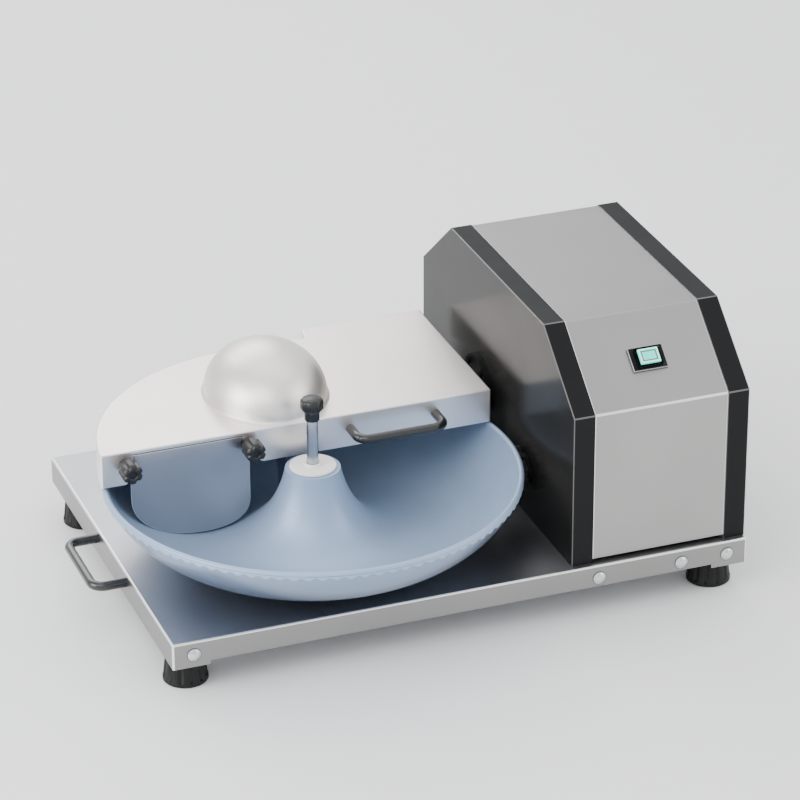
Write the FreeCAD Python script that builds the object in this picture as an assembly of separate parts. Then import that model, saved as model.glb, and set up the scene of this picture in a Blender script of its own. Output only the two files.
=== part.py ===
import FreeCAD, Part
import math
import os

# Table-top bowl cutter: a ring-shaped bowl turns under a hinged lid, where three curved knives spin.
# Working frame: x to the right along the tray, y towards the back, z up, with zero at the top of
# the tray at its front left corner. Every finished piece is moved to the middle of the footprint.
V = FreeCAD.Vector
X, Y, Z = V(1, 0, 0), V(0, 1, 0), V(0, 0, 1)

# Tray
TRAY_SHEET = 2.0
FLANGE_DROP = 27.0
CORNER_DROP = 32.0
CORNER_TAB = 44.0
STAND_HEIGHT = 70.0
FOOT_HEIGHT = 42.0
FOOT_BASE_R = 26.0
FOOT_TOP_R = 22.0
FOOT_INSET_X = 27.5
FOOT_INSET_Y = 43.5
FOOT_FLUTES = 12
FLUTE_R = 6.0
FLUTE_DEPTH = 1.2
SPACER_R = 11.0
SCREW_HEAD_R = 7.5
SCREW_HEAD_H = 3.2
SCREW_R = 4.0
SCREW_DROP = 15.0
SCREW_FROM_LEFT = 28.0
SCREWS_FROM_RIGHT = (185.0, 82.0, 24.0)

# Bowl
BOWL_X = 225.0
BOWL_Y = 166.0
RIM_R = 243.0
RIM_Z = 95.0
RIM_BEAD = 3.4
RIM_SIDE = 0.6
BOWL_WALL = 3.5
TROUGH_Z = 14.5
CHANNEL_RUN = 124.0
CONE_R = 32.0
CONE_TOP = 101.0
HUB_R = 24.0
HUB_BOTTOM = 34.0
POST_R = 14.0
POST_TOP = 84.0
POST_FLANGE_R = 44.0
POST_FLANGE = 6.0
BUSH_WALL = 3.0
RUNNING = 0.06
GAP = 0.3

# How far the bowl's two curves run on from their ends before they turn, as shares of height or run.
FLANK_STEEP = 0.786
FLANK_FLAT = 0.358
WALL_FLAT = 0.479
WALL_STEEP = 0.464

# Toothed ring and pinion
CROWN_TEETH = 96
PINION_TEETH = 11
RING_BAND = 1.0
RING_FACE = 3.2
TOOTH_HEIGHT = 4.2
PINION_ASIDE = 16.0
PINION_BITE = 2.6
PINION_WIDTH = 10.0
PINION_FLANGE_R = 17.0

# Centre clamp
ROD_R = 6.85
KNOB_R = 13.5
KNOB_NECK_R = 8.7
KNOB_TOP = 189.0
KNOB_BOTTOM = 161.0
COLLAR_R = 27.3
COLLAR_H = 3.0

# Knives
KNIFE_OUTWARD = 10.0
KNIFE_LEFTWARD = 13.0
KNIFE_Z = 105.0
KNIFE_R = 84.5
SHAFT_R = 8.5
KNIFE_COUNT = 3
KNIFE_THICK = 3.0
KNIFE_PITCH = 16.0
KNIFE_HUB_R = 20.0
KNIFE_END = 14.0
PULLEY_R = 33.0
PULLEY_FLANGE_R = 38.0
PULLEY_FLANGE = 3.0
PULLEY_ROOM = 39.5
BELT_WIDTH = 12.0
BELT_THICK = 6.0
HOUSING_TUBE_R = 21.0
HOUSING_FLANGE_R = 36.0
HOUSING_FLANGE = 7.0
BEARING_WIDTH = 12.0
SEAL_WIDTH = 8.0
FLANGE_SCREW_R = 2.6

# Lid
LID_BOTTOM = 97.0
LID_HEIGHT = 41.5
LID_SHEET = 1.5
LID_SHORT_OF_HOUSING = 20.8
LID_SHORT_OF_TRAY = 42.4
LID_INSIDE_RIM = 15.5
LID_ARC_LEFTWARD = 13.2
LID_ARC_BACKWARD = 25.0
LID_STEP = 4.0
DOME_A = 74.0
DOME_MARGIN = 21.8
DOME_ROOM = 2.5
DOME_HEADROOM = 12.0
DOME_SHEET = 1.5
CUT_TOP = 134.0
HINGE_DROP = 15.5
HINGE_BACK = 11.0
PIN_R = 4.0
LUG_THICK = 5.0
LUG_R = 8.0
BRACKET_SHEET = 3.0
BRACKET_FROM_NOTCH = 22.2
BRACKET_FROM_RIGHT = 15.7

# Baffle plate and its knobs
PLATE_THICK = 2.0
PLATE_LEFT = 19.5
PLATE_RIGHT = 163.0
PLATE_LOW = 18.2
PLATE_TOP = 132.0
PLATE_KNOB_Z = 122.5
PLATE_KNOB_R = 12.5
PLATE_KNOB_LENGTH = 30.0
STUD_R = 3.0

# Bent rod handles
HANDLE_ROD_R = 5.6
LID_HANDLE_SPAN = 106.0
LID_HANDLE_REACH = 34.0
SIDE_HANDLE_SPAN = 113.0
SIDE_HANDLE_REACH = 38.5
HANDLE_BEND = 14.0
HANDLE_SCREW_R = 2.5
LID_HANDLE_FROM_RIGHT = 122.9
LID_HANDLE_Z = 119.7
SIDE_HANDLE_Y = 230.0
SIDE_HANDLE_Z = -10.0

# Motor housing
HOUSING_CLEAR = 14.5
HOUSING_WIDTH = 217.5
CHEEK_THICK = 26.0
CHEEK_WALL = 3.0
HOUSING_FRONT = 8.0
SLOPE_DROP = 77.0
SLOPE_RUN = 94.0
BACK_RUN = 93.5
HOUSING_TOP = 266.0
TRAY_MARGIN = 1.0
COVER_INSET = 1.2
COVER_SHEET = 1.5
COVER_GAP = 4.5
COVER_JOINT = 6.0
COVER_SCREW_R = 2.0
COVER_SCREW_IN = 8.0
COVER_SCREW_HEIGHTS = (0.106, 0.53, 0.942)
LOUVRE_LOW = 84.0
LOUVRE_PITCH = 11.0
LOUVRE_SLOT = 4.5
LOUVRE_RISE = 2.8
HOOD_OVERLAP = 2.0

# Switch on the slope
SWITCH_UP = 59.0
BEZEL_W = 43.0
BEZEL_H = 30.0
BEZEL_T = 3.0
COLLAR_W = 31.0
COLLAR_D = 24.0
COLLAR_RISE = 8.0
COLLAR_WALL = 2.0
BUTTON_TRAVEL = 3.0
BUTTON_RISE = 1.5

# Drives
BELT_CENTRES = 105.0
MOTOR_Z = 84.0
MOTOR_R = 62.0
MOTOR_BEHIND = 23.0
MOTOR_ROOM = 89.5
MOTOR_FROM_PULLEY = 8.0
MOTOR_BASE_HALF = 60.0
MOTOR_SHAFT_R = 8.0
MOTOR_PLATE = 10.0
GEARMOTOR_R = 28.0
GEARBOX = 56.0
GEARBOX_LENGTH = 40.0
GEARMOTOR_ROOM = 143.5
CAPACITOR_R = 16.0
PINION_SHAFT_R = 6.0
GLAND_R = 11.0
GLAND_BORE = 5.0
GLAND_Z = 40.0
GLAND_LENGTH = 16.0

# Places and sizes that follow from the values above.
TROUGH_R = RIM_R - CHANNEL_RUN
KNIFE_X = BOWL_X - KNIFE_LEFTWARD
KNIFE_Y = BOWL_Y + TROUGH_R + KNIFE_OUTWARD
MOTOR_Y = KNIFE_Y + BELT_CENTRES
HOUSING_LEFT = BOWL_X + RIM_R + HOUSING_CLEAR
HOUSING_BACK = MOTOR_Y + MOTOR_R + MOTOR_BEHIND
TRAY_LENGTH = HOUSING_LEFT + HOUSING_WIDTH
TRAY_DEPTH = HOUSING_BACK + TRAY_MARGIN
SLOPE_Z = HOUSING_TOP - SLOPE_DROP
TOP_BACK = HOUSING_BACK - BACK_RUN
SWITCH_X = HOUSING_LEFT + HOUSING_WIDTH / 2
KNIFE_TUBE = HOUSING_WIDTH - PULLEY_ROOM
MOTOR_LENGTH = HOUSING_WIDTH - MOTOR_ROOM
LID_TOP = LID_BOTTOM + LID_HEIGHT
DOME_B = KNIFE_R + DOME_ROOM
DOME_C = KNIFE_Z + KNIFE_R + DOME_HEADROOM - LID_TOP
LID_FRONT = KNIFE_Y - DOME_B - 1
LID_RIGHT = HOUSING_LEFT - LID_SHORT_OF_HOUSING
LID_BACK = TRAY_DEPTH - LID_SHORT_OF_TRAY
LID_ARC_R = RIM_R - LID_INSIDE_RIM
LID_ARC_X = BOWL_X - LID_ARC_LEFTWARD
LID_ARC_Y = BOWL_Y + LID_ARC_BACKWARD
LID_NOTCH_X = KNIFE_X + DOME_A + DOME_MARGIN
LID_STEP_X = LID_NOTCH_X - LID_STEP
LID_HANDLE_X = LID_RIGHT - LID_HANDLE_FROM_RIGHT
CUT_LEFT = PLATE_LEFT + 3.5
CUT_RIGHT = PLATE_RIGHT - 7
KNOB_A_X = PLATE_LEFT - 5
KNOB_B_X = PLATE_RIGHT - 1
HINGE_Y = LID_BACK + HINGE_BACK
HINGE_Z = LID_TOP - HINGE_DROP
BRACKET_LEFT = LID_NOTCH_X + BRACKET_FROM_NOTCH
BRACKET_RIGHT = LID_RIGHT - BRACKET_FROM_RIGHT
RING_TOP = RIM_Z - RIM_BEAD - RIM_SIDE
TOOTH_ROOT = RING_TOP - RING_BAND
PITCH = 2 * math.pi * (RIM_R - RING_FACE / 2) / CROWN_TEETH
PINION_PITCH_R = PITCH * PINION_TEETH / (2 * math.pi)
TOOTH_MID = TOOTH_ROOT - TOOTH_HEIGHT / 2
PINION_Z = TOOTH_MID - PINION_PITCH_R
PINION_Y = BOWL_Y - PINION_ASIDE
PINION_X = BOWL_X + math.sqrt((RIM_R - PINION_BITE) ** 2 - PINION_ASIDE ** 2)
LEFT_END = -SIDE_HANDLE_REACH - HANDLE_ROD_R
FRONT_END = BOWL_Y - RIM_R
BACK_END = HOUSING_BACK - COVER_INSET + GLAND_LENGTH
ORIGIN = V((LEFT_END + TRAY_LENGTH) / 2, (FRONT_END + BACK_END) / 2, -STAND_HEIGHT)


def box(x0, x1, y0, y1, z0, z1):
    return Part.makeBox(x1 - x0, y1 - y0, z1 - z0, V(x0, y0, z0))


def rod(start, axis, radius, length):
    return Part.makeCylinder(radius, length, start, axis)


def tube(start, axis, outer, inner, length):
    return rod(start, axis, outer, length).cut(rod(start, axis, inner, length))


def group(shapes):
    return Part.makeCompound(shapes)


def polygon(points):
    return Part.Face(Part.makePolygon(points + [points[0]]))


def around(centre, u, v, radius, degrees):
    # The point at an angle on a circle in the plane of u and v.
    a = math.radians(degrees)
    return centre + u * (radius * math.cos(a)) + v * (radius * math.sin(a))


def hexagon(centre, u, v, radius):
    return polygon([around(centre, u, v, radius, 60 * i) for i in range(6)])


def turned(profile, centre):
    # A solid of revolution about a vertical axis from (radius, height) points.
    face = polygon([centre + V(r, 0, z) for r, z in profile])
    return face.revolve(centre, Z, 360)


def bent_rod(a, b, out, radius, reach, bend):
    # A handle: two legs from a and b along out, joined by a bar with round bends.
    along = (b - a).normalize()
    p = [a, a + out * (reach - bend), a + out * reach + along * bend,
         b + out * reach - along * bend, b + out * (reach - bend), b]
    mid = bend * (1 - math.sqrt(0.5))
    c1 = a + out * (reach - mid) + along * mid
    c2 = b + out * (reach - mid) - along * mid
    edges = [Part.makeLine(p[0], p[1]), Part.Arc(p[1], c1, p[2]).toShape(), Part.makeLine(p[2], p[3]),
             Part.Arc(p[3], c2, p[4]).toShape(), Part.makeLine(p[4], p[5])]
    path = Part.Wire(edges)
    ring = Part.Wire(Part.Circle(a, out, radius).toShape())
    return path.makePipeShell([ring], True, False)


def save(name, shape):
    shape = shape.copy()
    shape.translate(ORIGIN * -1)
    shape.exportStep("parts/" + name + ".step")
    bad = [s for s in shape.Solids if not s.isValid()]
    print(name, len(shape.Solids), "solids", round(shape.Volume / 1000, 1), "cm3", "INVALID" if bad else "")


def tray():
    outer = box(0, TRAY_LENGTH, 0, TRAY_DEPTH, -CORNER_DROP, 0)
    t = TRAY_SHEET
    inner = box(t, TRAY_LENGTH - t, t, TRAY_DEPTH - t, -CORNER_DROP, -t)
    pan = outer.cut(inner)
    for y0, y1 in ((-1, t + 1), (TRAY_DEPTH - t - 1, TRAY_DEPTH + 1)):
        pan = pan.cut(box(CORNER_TAB, TRAY_LENGTH - CORNER_TAB, y0, y1, -CORNER_DROP, -FLANGE_DROP))
    for x0, x1 in ((-1, t + 1), (TRAY_LENGTH - t - 1, TRAY_LENGTH + 1)):
        pan = pan.cut(box(x0, x1, CORNER_TAB, TRAY_DEPTH - CORNER_TAB, -CORNER_DROP, -FLANGE_DROP))
    return pan


def front_screw_places():
    xs = [SCREW_FROM_LEFT] + [TRAY_LENGTH - d for d in SCREWS_FROM_RIGHT]
    return [V(x, 0, -SCREW_DROP) for x in xs]


def dome_screw(place, out, grip):
    # A low dome head outside the sheet and a short shank that stops behind it.
    ball = (SCREW_HEAD_R ** 2 + SCREW_HEAD_H ** 2) / (2 * SCREW_HEAD_H)
    centre = place - out * (ball - SCREW_HEAD_H)
    head = Part.makeSphere(ball, centre).common(rod(place, out, SCREW_HEAD_R, SCREW_HEAD_H + 1))
    return head.fuse(rod(place - out * grip, out, SCREW_R, grip))


def foot_places():
    xs = (FOOT_INSET_X, TRAY_LENGTH - FOOT_INSET_X)
    ys = (FOOT_INSET_Y, TRAY_DEPTH - FOOT_INSET_Y)
    return [V(x, y, -STAND_HEIGHT) for x in xs for y in ys]


def rubber_foot(place):
    # A tapered foot with shallow flutes above its base band.
    top = FOOT_HEIGHT - 6
    band = 5.0
    body = turned([(0, 0), (FOOT_BASE_R, 0), (FOOT_BASE_R, band), (FOOT_TOP_R, top),
                   (FOOT_TOP_R + 1.5, top + 2), (FOOT_TOP_R + 1.5, FOOT_HEIGHT), (0, FOOT_HEIGHT)], place)
    slope = math.degrees(math.atan2(FOOT_BASE_R - FOOT_TOP_R, top - band))
    start = V(FOOT_BASE_R + FLUTE_R - FLUTE_DEPTH, 0, band)
    for i in range(FOOT_FLUTES):
        flute = rod(start, Z, FLUTE_R, top - band - 1)
        flute.rotate(start, Y, -slope)
        flute.rotate(V(0, 0, 0), Z, 360.0 * i / FOOT_FLUTES)
        flute.translate(place)
        body = body.cut(flute)
    hole = rod(place, Z, SCREW_R, FOOT_HEIGHT).fuse(rod(place, Z, 9.0, 8.0))
    return body.cut(hole)


def feet():
    rubber, spacers, bolts = [], [], []
    for p in foot_places():
        rubber.append(rubber_foot(p))
        top = p + V(0, 0, FOOT_HEIGHT)
        height = STAND_HEIGHT - FOOT_HEIGHT - TRAY_SHEET
        spacers.append(tube(top, Z, SPACER_R, SCREW_R, height))
        head = p + V(0, 0, 2)
        bolts.append(rod(head, Z, 7, 6).fuse(rod(head, Z, SCREW_R - RUNNING, STAND_HEIGHT - 8)))
    return group(rubber), group(spacers), group(bolts)


def bowl_wall_edges(offset):
    # Inner wall of the bowl as two smooth curves: the cone flank, then the outer wall.
    cone = V(BOWL_X + CONE_R, BOWL_Y, CONE_TOP)
    trough = V(BOWL_X + TROUGH_R, BOWL_Y, TROUGH_Z)
    rim = V(BOWL_X + RIM_R - 2 * RIM_BEAD, BOWL_Y, RIM_Z - RIM_BEAD)
    from_cone = V(0.2, 0, -1) * (FLANK_STEEP * (cone.z - trough.z))
    to_trough = X * (FLANK_FLAT * (trough.x - cone.x))
    from_trough = X * (WALL_FLAT * (rim.x - trough.x))
    to_rim = V(0.15, 0, 1) * (WALL_STEEP * (rim.z - trough.z))
    curves = []
    for poles in ([cone, cone + from_cone, trough - to_trough, trough],
                  [trough, trough + from_trough, rim - to_rim, rim]):
        curve = Part.BezierCurve()
        curve.setPoles(poles)
        curves.append(curve)
    if not offset:
        return [s.toShape() for s in curves]
    moved = []
    for s in curves:
        count = 14
        pts = []
        for i in range(count + 1):
            u = s.FirstParameter + (s.LastParameter - s.FirstParameter) * i / count
            tangent = s.tangent(u)[0]
            normal = V(-tangent.z, 0, tangent.x) * -1
            pts.append(s.value(u) + normal * offset)
        m = Part.BSplineCurve()
        m.interpolate(Points=pts)
        moved.append(m.toShape())
    return moved


def bowl():
    inner = bowl_wall_edges(0)
    outer = bowl_wall_edges(BOWL_WALL)
    rim_in = inner[1].lastVertex().Point
    rim_out = outer[1].lastVertex().Point
    cone_in = inner[0].firstVertex().Point
    cone_out = outer[0].firstVertex().Point
    crest = V(BOWL_X + RIM_R - RIM_BEAD, BOWL_Y, RIM_Z)
    side = V(BOWL_X + RIM_R, BOWL_Y, RIM_Z - RIM_BEAD)
    low = V(BOWL_X + RIM_R, BOWL_Y, RING_TOP)
    under = V(rim_out.x, BOWL_Y, RING_TOP)
    mid = RIM_BEAD * (1 - math.sqrt(0.5))
    top_mid = V(rim_in.x + mid, BOWL_Y, RIM_Z - mid)
    corner = V(side.x - mid, BOWL_Y, RIM_Z - mid)
    edges = inner + [Part.Arc(rim_in, top_mid, crest).toShape(), Part.Arc(crest, corner, side).toShape(),
                     Part.makeLine(side, low), Part.makeLine(low, under)]
    if (under - rim_out).Length > 0.01:
        edges.append(Part.makeLine(under, rim_out))
    edges += [outer[1], outer[0], Part.makeLine(cone_out, V(cone_out.x, BOWL_Y, CONE_TOP - 5)),
              Part.makeLine(V(cone_out.x, BOWL_Y, CONE_TOP - 5), V(BOWL_X + HUB_R, BOWL_Y, CONE_TOP - 5)),
              Part.makeLine(V(BOWL_X + HUB_R, BOWL_Y, CONE_TOP - 5), V(BOWL_X + HUB_R, BOWL_Y, CONE_TOP)),
              Part.makeLine(V(BOWL_X + HUB_R, BOWL_Y, CONE_TOP), cone_in)]
    wire = Part.Wire(Part.__sortEdges__(edges))
    return Part.Face(wire).revolve(V(BOWL_X, BOWL_Y, 0), Z, 360)


def crown_ring():
    # The toothed ring under the rim: its teeth point down and mesh with the pinion.
    c = V(BOWL_X, BOWL_Y, 0)
    inner = RIM_R - RING_FACE
    ring = tube(c + V(0, 0, TOOTH_ROOT), Z, RIM_R, inner, RING_TOP - TOOTH_ROOT)
    half_root = PITCH * 0.27
    half_tip = PITCH * 0.15
    tip = TOOTH_ROOT - TOOTH_HEIGHT
    sunk = TOOTH_ROOT + 1.0
    start = inner + 0.3
    profile = polygon([V(start, -half_root, sunk), V(start, half_root, sunk), V(start, half_root, TOOTH_ROOT),
                       V(start, half_tip, tip), V(start, -half_tip, tip), V(start, -half_root, TOOTH_ROOT)])
    tooth = profile.extrude(V(RING_FACE - 0.6, 0, 0))
    contact = -math.degrees(math.asin(PINION_ASIDE / RIM_R))
    step = 360.0 / CROWN_TEETH
    teeth = []
    for i in range(CROWN_TEETH):
        one = tooth.copy()
        one.rotate(V(0, 0, 0), Z, contact + step * (i + 0.5))
        one.translate(c)
        teeth.append(one)
    return ring.fuse(teeth)


def pinion():
    root = PINION_PITCH_R - TOOTH_HEIGHT / 2 - 0.8
    tip = PINION_PITCH_R + TOOTH_HEIGHT / 2 - 0.6
    start = V(PINION_X, PINION_Y, PINION_Z)
    body = rod(start, X, root, PINION_WIDTH)
    half_root = PITCH * 0.24
    half_tip = PITCH * 0.12
    profile = polygon([V(0, -half_root, root - 1), V(0, half_root, root - 1), V(0, half_tip, tip),
                       V(0, -half_tip, tip)])
    for i in range(PINION_TEETH):
        tooth = profile.extrude(V(PINION_WIDTH, 0, 0))
        tooth.rotate(V(0, 0, 0), X, 360.0 * i / PINION_TEETH)
        tooth.translate(start)
        body = body.fuse(tooth)
    hub = rod(start + V(PINION_WIDTH, 0, 0), X, PINION_SHAFT_R + 4, 2.5)
    hole = rod(start - V(1, 0, 0), X, PINION_SHAFT_R, PINION_WIDTH + 10)
    return body.removeSplitter().fuse(hub).cut(hole)


def bowl_hub():
    c = V(BOWL_X, BOWL_Y, HUB_BOTTOM)
    bore = POST_R + BUSH_WALL
    sleeve = tube(c, Z, HUB_R, bore, CONE_TOP - HUB_BOTTOM)
    lip = rod(V(BOWL_X, BOWL_Y, POST_TOP + 2), Z, bore + 1, CONE_TOP - POST_TOP - 2)
    web = lip.cut(rod(V(BOWL_X, BOWL_Y, POST_TOP), Z, ROD_R + GAP, CONE_TOP - POST_TOP))
    return sleeve.fuse(web)


def bushes():
    out = []
    length = 16.0
    for z in (HUB_BOTTOM, POST_TOP + 2 - length):
        out.append(tube(V(BOWL_X, BOWL_Y, z), Z, POST_R + BUSH_WALL, POST_R + RUNNING, length))
    return group(out)


def spindle_post():
    c = V(BOWL_X, BOWL_Y, 0)
    post = rod(c, Z, POST_FLANGE_R, POST_FLANGE).fuse(rod(c, Z, HUB_R - 2, HUB_BOTTOM - 3))
    post = post.fuse(rod(c, Z, POST_R, POST_TOP))
    post = post.cut(rod(V(BOWL_X, BOWL_Y, POST_TOP - 30), Z, ROD_R + RUNNING, 30))
    for p in post_bolt_places():
        post = post.cut(rod(p, Z, SCREW_R, POST_FLANGE))
    return post


def post_bolt_places():
    r = POST_FLANGE_R - 10
    return [around(V(BOWL_X, BOWL_Y, 0), X, Y, r, 45 + 90 * i) for i in range(4)]


def collar():
    # White plastic collar with a small split boss round the clamp rod.
    c = V(BOWL_X, BOWL_Y, CONE_TOP)
    disc = rod(c, Z, COLLAR_R, COLLAR_H)
    disc = disc.makeChamfer(0.8, [e for e in disc.Edges if e.BoundBox.ZMin > CONE_TOP + COLLAR_H / 2])
    boss = rod(c, Z, ROD_R + 3.5, COLLAR_H + 3)
    hole = rod(c, Z, ROD_R + GAP, COLLAR_H + 4)
    boss_x = BOWL_X + ROD_R
    slit = box(boss_x, boss_x + 6, BOWL_Y - 0.8, BOWL_Y + 0.8, CONE_TOP + COLLAR_H, CONE_TOP + 8)
    return disc.fuse(boss).cut(hole).cut(slit)


def clamp_rod():
    start = V(BOWL_X, BOWL_Y, POST_TOP - 28)
    return rod(start, Z, ROD_R, KNOB_BOTTOM + 8 - (POST_TOP - 28))


def lobed(radius, count, depth):
    # A round grip with shallow flutes, as a face about the z axis at zero height.
    face = Part.Face(Part.Wire(Part.Circle(V(0, 0, 0), Z, radius).toShape()))
    flute = depth * 2.2
    for i in range(count):
        p = around(V(0, 0, 0), X, Y, radius + flute - depth, 360.0 * i / count)
        face = face.cut(Part.Face(Part.Wire(Part.Circle(p, Z, flute).toShape())))
    return face


def clamp_knob():
    head_z = KNOB_BOTTOM + 0.45 * (KNOB_TOP - KNOB_BOTTOM)
    c = V(BOWL_X, BOWL_Y, 0)
    head = lobed(KNOB_R, 8, 1.2).extrude(V(0, 0, KNOB_TOP - head_z))
    head.translate(V(BOWL_X, BOWL_Y, head_z))
    dome = turned([(0, head_z), (KNOB_R - 2.5, head_z), (KNOB_R + 1, head_z + 2.5), (KNOB_R + 1, KNOB_TOP - 3),
                   (KNOB_R - 3, KNOB_TOP), (0, KNOB_TOP)], c)
    neck = turned([(0, KNOB_BOTTOM), (KNOB_NECK_R - 1, KNOB_BOTTOM), (KNOB_NECK_R, KNOB_BOTTOM + 1.5),
                   (KNOB_NECK_R, head_z - 2), (KNOB_NECK_R + 2.5, head_z), (0, head_z)], c)
    hole = rod(V(BOWL_X, BOWL_Y, KNOB_BOTTOM), Z, ROD_R, 8)
    return head.common(dome).fuse(neck).cut(hole)


def lid_outline(inset, z):
    # Front edge, round left end, step and notch at the back, and the square right end.
    r = LID_ARC_R
    left = V(LID_ARC_X - math.sqrt(r ** 2 - (LID_FRONT - LID_ARC_Y) ** 2), LID_FRONT, z)
    back = V(LID_ARC_X, LID_ARC_Y + r, z)
    turn = math.radians(135)
    mid = V(LID_ARC_X + r * math.cos(turn), LID_ARC_Y + r * math.sin(turn), z)
    p = [back, V(LID_STEP_X, back.y, z), V(LID_NOTCH_X, LID_BACK, z), V(LID_RIGHT, LID_BACK, z),
         V(LID_RIGHT, LID_FRONT, z), left]
    edges = [Part.Arc(left, mid, back).toShape()] + [Part.makeLine(a, b) for a, b in zip(p, p[1:])]
    face = Part.Face(Part.Wire(edges))
    return face.makeOffset2D(-inset, 2, False, False, True) if inset else face


def scaled_dome(a, b, c, z):
    m = FreeCAD.Matrix()
    m.scale(a, b, c)
    ball = Part.makeSphere(1.0).transformGeometry(m)
    ball.translate(V(KNIFE_X, KNIFE_Y, z))
    return ball.common(box(KNIFE_X - a - 1, KNIFE_X + a + 1, KNIFE_Y - b - 1, KNIFE_Y + b + 1, z, z + c + 1))


def lid_shell():
    outer = lid_outline(0, LID_BOTTOM).extrude(V(0, 0, LID_HEIGHT))
    inner = lid_outline(LID_SHEET, LID_BOTTOM).extrude(V(0, 0, LID_HEIGHT - LID_SHEET))
    shell = outer.cut(inner)
    waist = CUT_TOP - 26
    below = LID_BOTTOM - 1
    form = [(CUT_LEFT, CUT_TOP), (CUT_RIGHT, CUT_TOP), (CUT_RIGHT, waist), (CUT_RIGHT + 23, LID_BOTTOM),
            (CUT_RIGHT + 23, below), (CUT_LEFT - 9, below), (CUT_LEFT - 9, LID_BOTTOM), (CUT_LEFT, waist)]
    cut = polygon([V(x, 0, z) for x, z in form])
    cut.translate(V(0, LID_FRONT - 1, 0))
    shell = shell.cut(cut.extrude(V(0, LID_SHEET + 1.2, 0)))
    width = SHAFT_R + 4
    arch = KNIFE_Z + 4
    shell = shell.cut(box(LID_RIGHT - 4, LID_RIGHT + 1, KNIFE_Y - width, KNIFE_Y + width, LID_BOTTOM - 1, arch))
    shell = shell.cut(rod(V(LID_RIGHT - 4, KNIFE_Y, arch), X, width, 6))
    hole = scaled_dome(DOME_A - DOME_SHEET - 2, DOME_B - DOME_SHEET - 2, DOME_C, 0)
    flat = [f for f in hole.Faces if abs(f.BoundBox.ZMax) < 0.01][0]
    flat.translate(V(0, 0, LID_TOP - LID_SHEET - 1))
    shell = shell.cut(flat.extrude(V(0, 0, LID_SHEET + 2)))
    for x in (KNOB_A_X, KNOB_B_X):
        shell = shell.cut(rod(V(x, LID_FRONT - 1, PLATE_KNOB_Z), Y, STUD_R + RUNNING, LID_SHEET + 2))
    for p in lid_handle_ends():
        shell = shell.cut(rod(p - V(0, 1, 0), Y, HANDLE_SCREW_R, LID_SHEET + 2))
    return shell


def dome():
    outer = scaled_dome(DOME_A, DOME_B, DOME_C, LID_TOP)
    s = DOME_SHEET
    return outer.cut(scaled_dome(DOME_A - s, DOME_B - s, DOME_C - s, LID_TOP))


def lid_handle_ends():
    half = LID_HANDLE_SPAN / 2
    return [V(LID_HANDLE_X - half, LID_FRONT, LID_HANDLE_Z), V(LID_HANDLE_X + half, LID_FRONT, LID_HANDLE_Z)]


def side_handle_ends():
    half = SIDE_HANDLE_SPAN / 2
    return [V(0, SIDE_HANDLE_Y - half, SIDE_HANDLE_Z), V(0, SIDE_HANDLE_Y + half, SIDE_HANDLE_Z)]


def handle(ends, out, reach):
    bar = bent_rod(ends[0], ends[1], out, HANDLE_ROD_R, reach, HANDLE_BEND)
    for p in ends:
        bar = bar.cut(rod(p, out, HANDLE_SCREW_R, 12))
    return bar


def handle_screws(ends, out, sheet):
    # Screws from behind the sheet into the legs of a handle.
    parts = []
    for p in ends:
        back = p - out * sheet
        parts.append(rod(back - out * 3, out, 5, 3).fuse(rod(back, out, HANDLE_SCREW_R, sheet + 10)))
    return group(parts)


def baffle_plate():
    y = LID_FRONT + LID_SHEET
    low = PLATE_LOW
    mid_x = PLATE_LEFT + 0.62 * (PLATE_RIGHT - PLATE_LEFT)
    left_z = LID_BOTTOM - 22
    right_z = LID_BOTTOM - 45
    form = [(PLATE_LEFT, left_z), (PLATE_LEFT + 19, low + 23), (PLATE_LEFT + 39, low + 11), (mid_x, low),
            (PLATE_RIGHT - 23, low + 6), (PLATE_RIGHT - 6, low + 17), (PLATE_RIGHT, right_z)]
    curve = Part.BSplineCurve()
    curve.interpolate(Points=[V(x, y, z) for x, z in form], InitialTangent=V(0, 0, -1), FinalTangent=Z)
    waist = LID_BOTTOM + 3
    shoulder = LID_BOTTOM + 12
    left_tab = PLATE_LEFT - 14
    right_tab = PLATE_RIGHT + 9
    tabs = [(PLATE_RIGHT, right_z), (PLATE_RIGHT, waist), (right_tab, shoulder), (right_tab, PLATE_TOP),
            (left_tab, PLATE_TOP), (left_tab, shoulder), (PLATE_LEFT, waist), (PLATE_LEFT, left_z)]
    points = [V(x, y, z) for x, z in tabs]
    edges = [curve.toShape()] + [Part.makeLine(a, b) for a, b in zip(points, points[1:])]
    plate = Part.Face(Part.Wire(edges)).extrude(V(0, PLATE_THICK, 0))
    for x in (KNOB_A_X, KNOB_B_X):
        plate = plate.cut(rod(V(x, y - 1, PLATE_KNOB_Z), Y, STUD_R + RUNNING, PLATE_THICK + 2))
    return plate


def plate_knob(x):
    # A long fluted grip with a dimple and a stud through the lid and the plate.
    length = PLATE_KNOB_LENGTH
    r = PLATE_KNOB_R
    head = lobed(r, 6, 1.6).extrude(V(0, 0, length))
    form = turned([(0, 0), (r - 3, 0), (r - 3, 5), (r - 0.5, 8), (r, length - 4), (r - 3, length),
                   (4.5, length), (3.5, length - 2.5), (0, length - 2.5)], V(0, 0, 0))
    grip = head.common(form)
    stud = rod(V(0, 0, -12), Z, STUD_R, 18)
    whole = grip.fuse(stud)
    whole.rotate(V(0, 0, 0), X, 90)
    whole.translate(V(x, LID_FRONT, PLATE_KNOB_Z))
    return whole


def knob_nuts():
    # Weld nuts behind the plate, one for each stud.
    y = LID_FRONT + LID_SHEET + PLATE_THICK
    return group([tube(V(x, y, PLATE_KNOB_Z), Y, 6.5, STUD_R + RUNNING, 5) for x in (KNOB_A_X, KNOB_B_X)])


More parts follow.
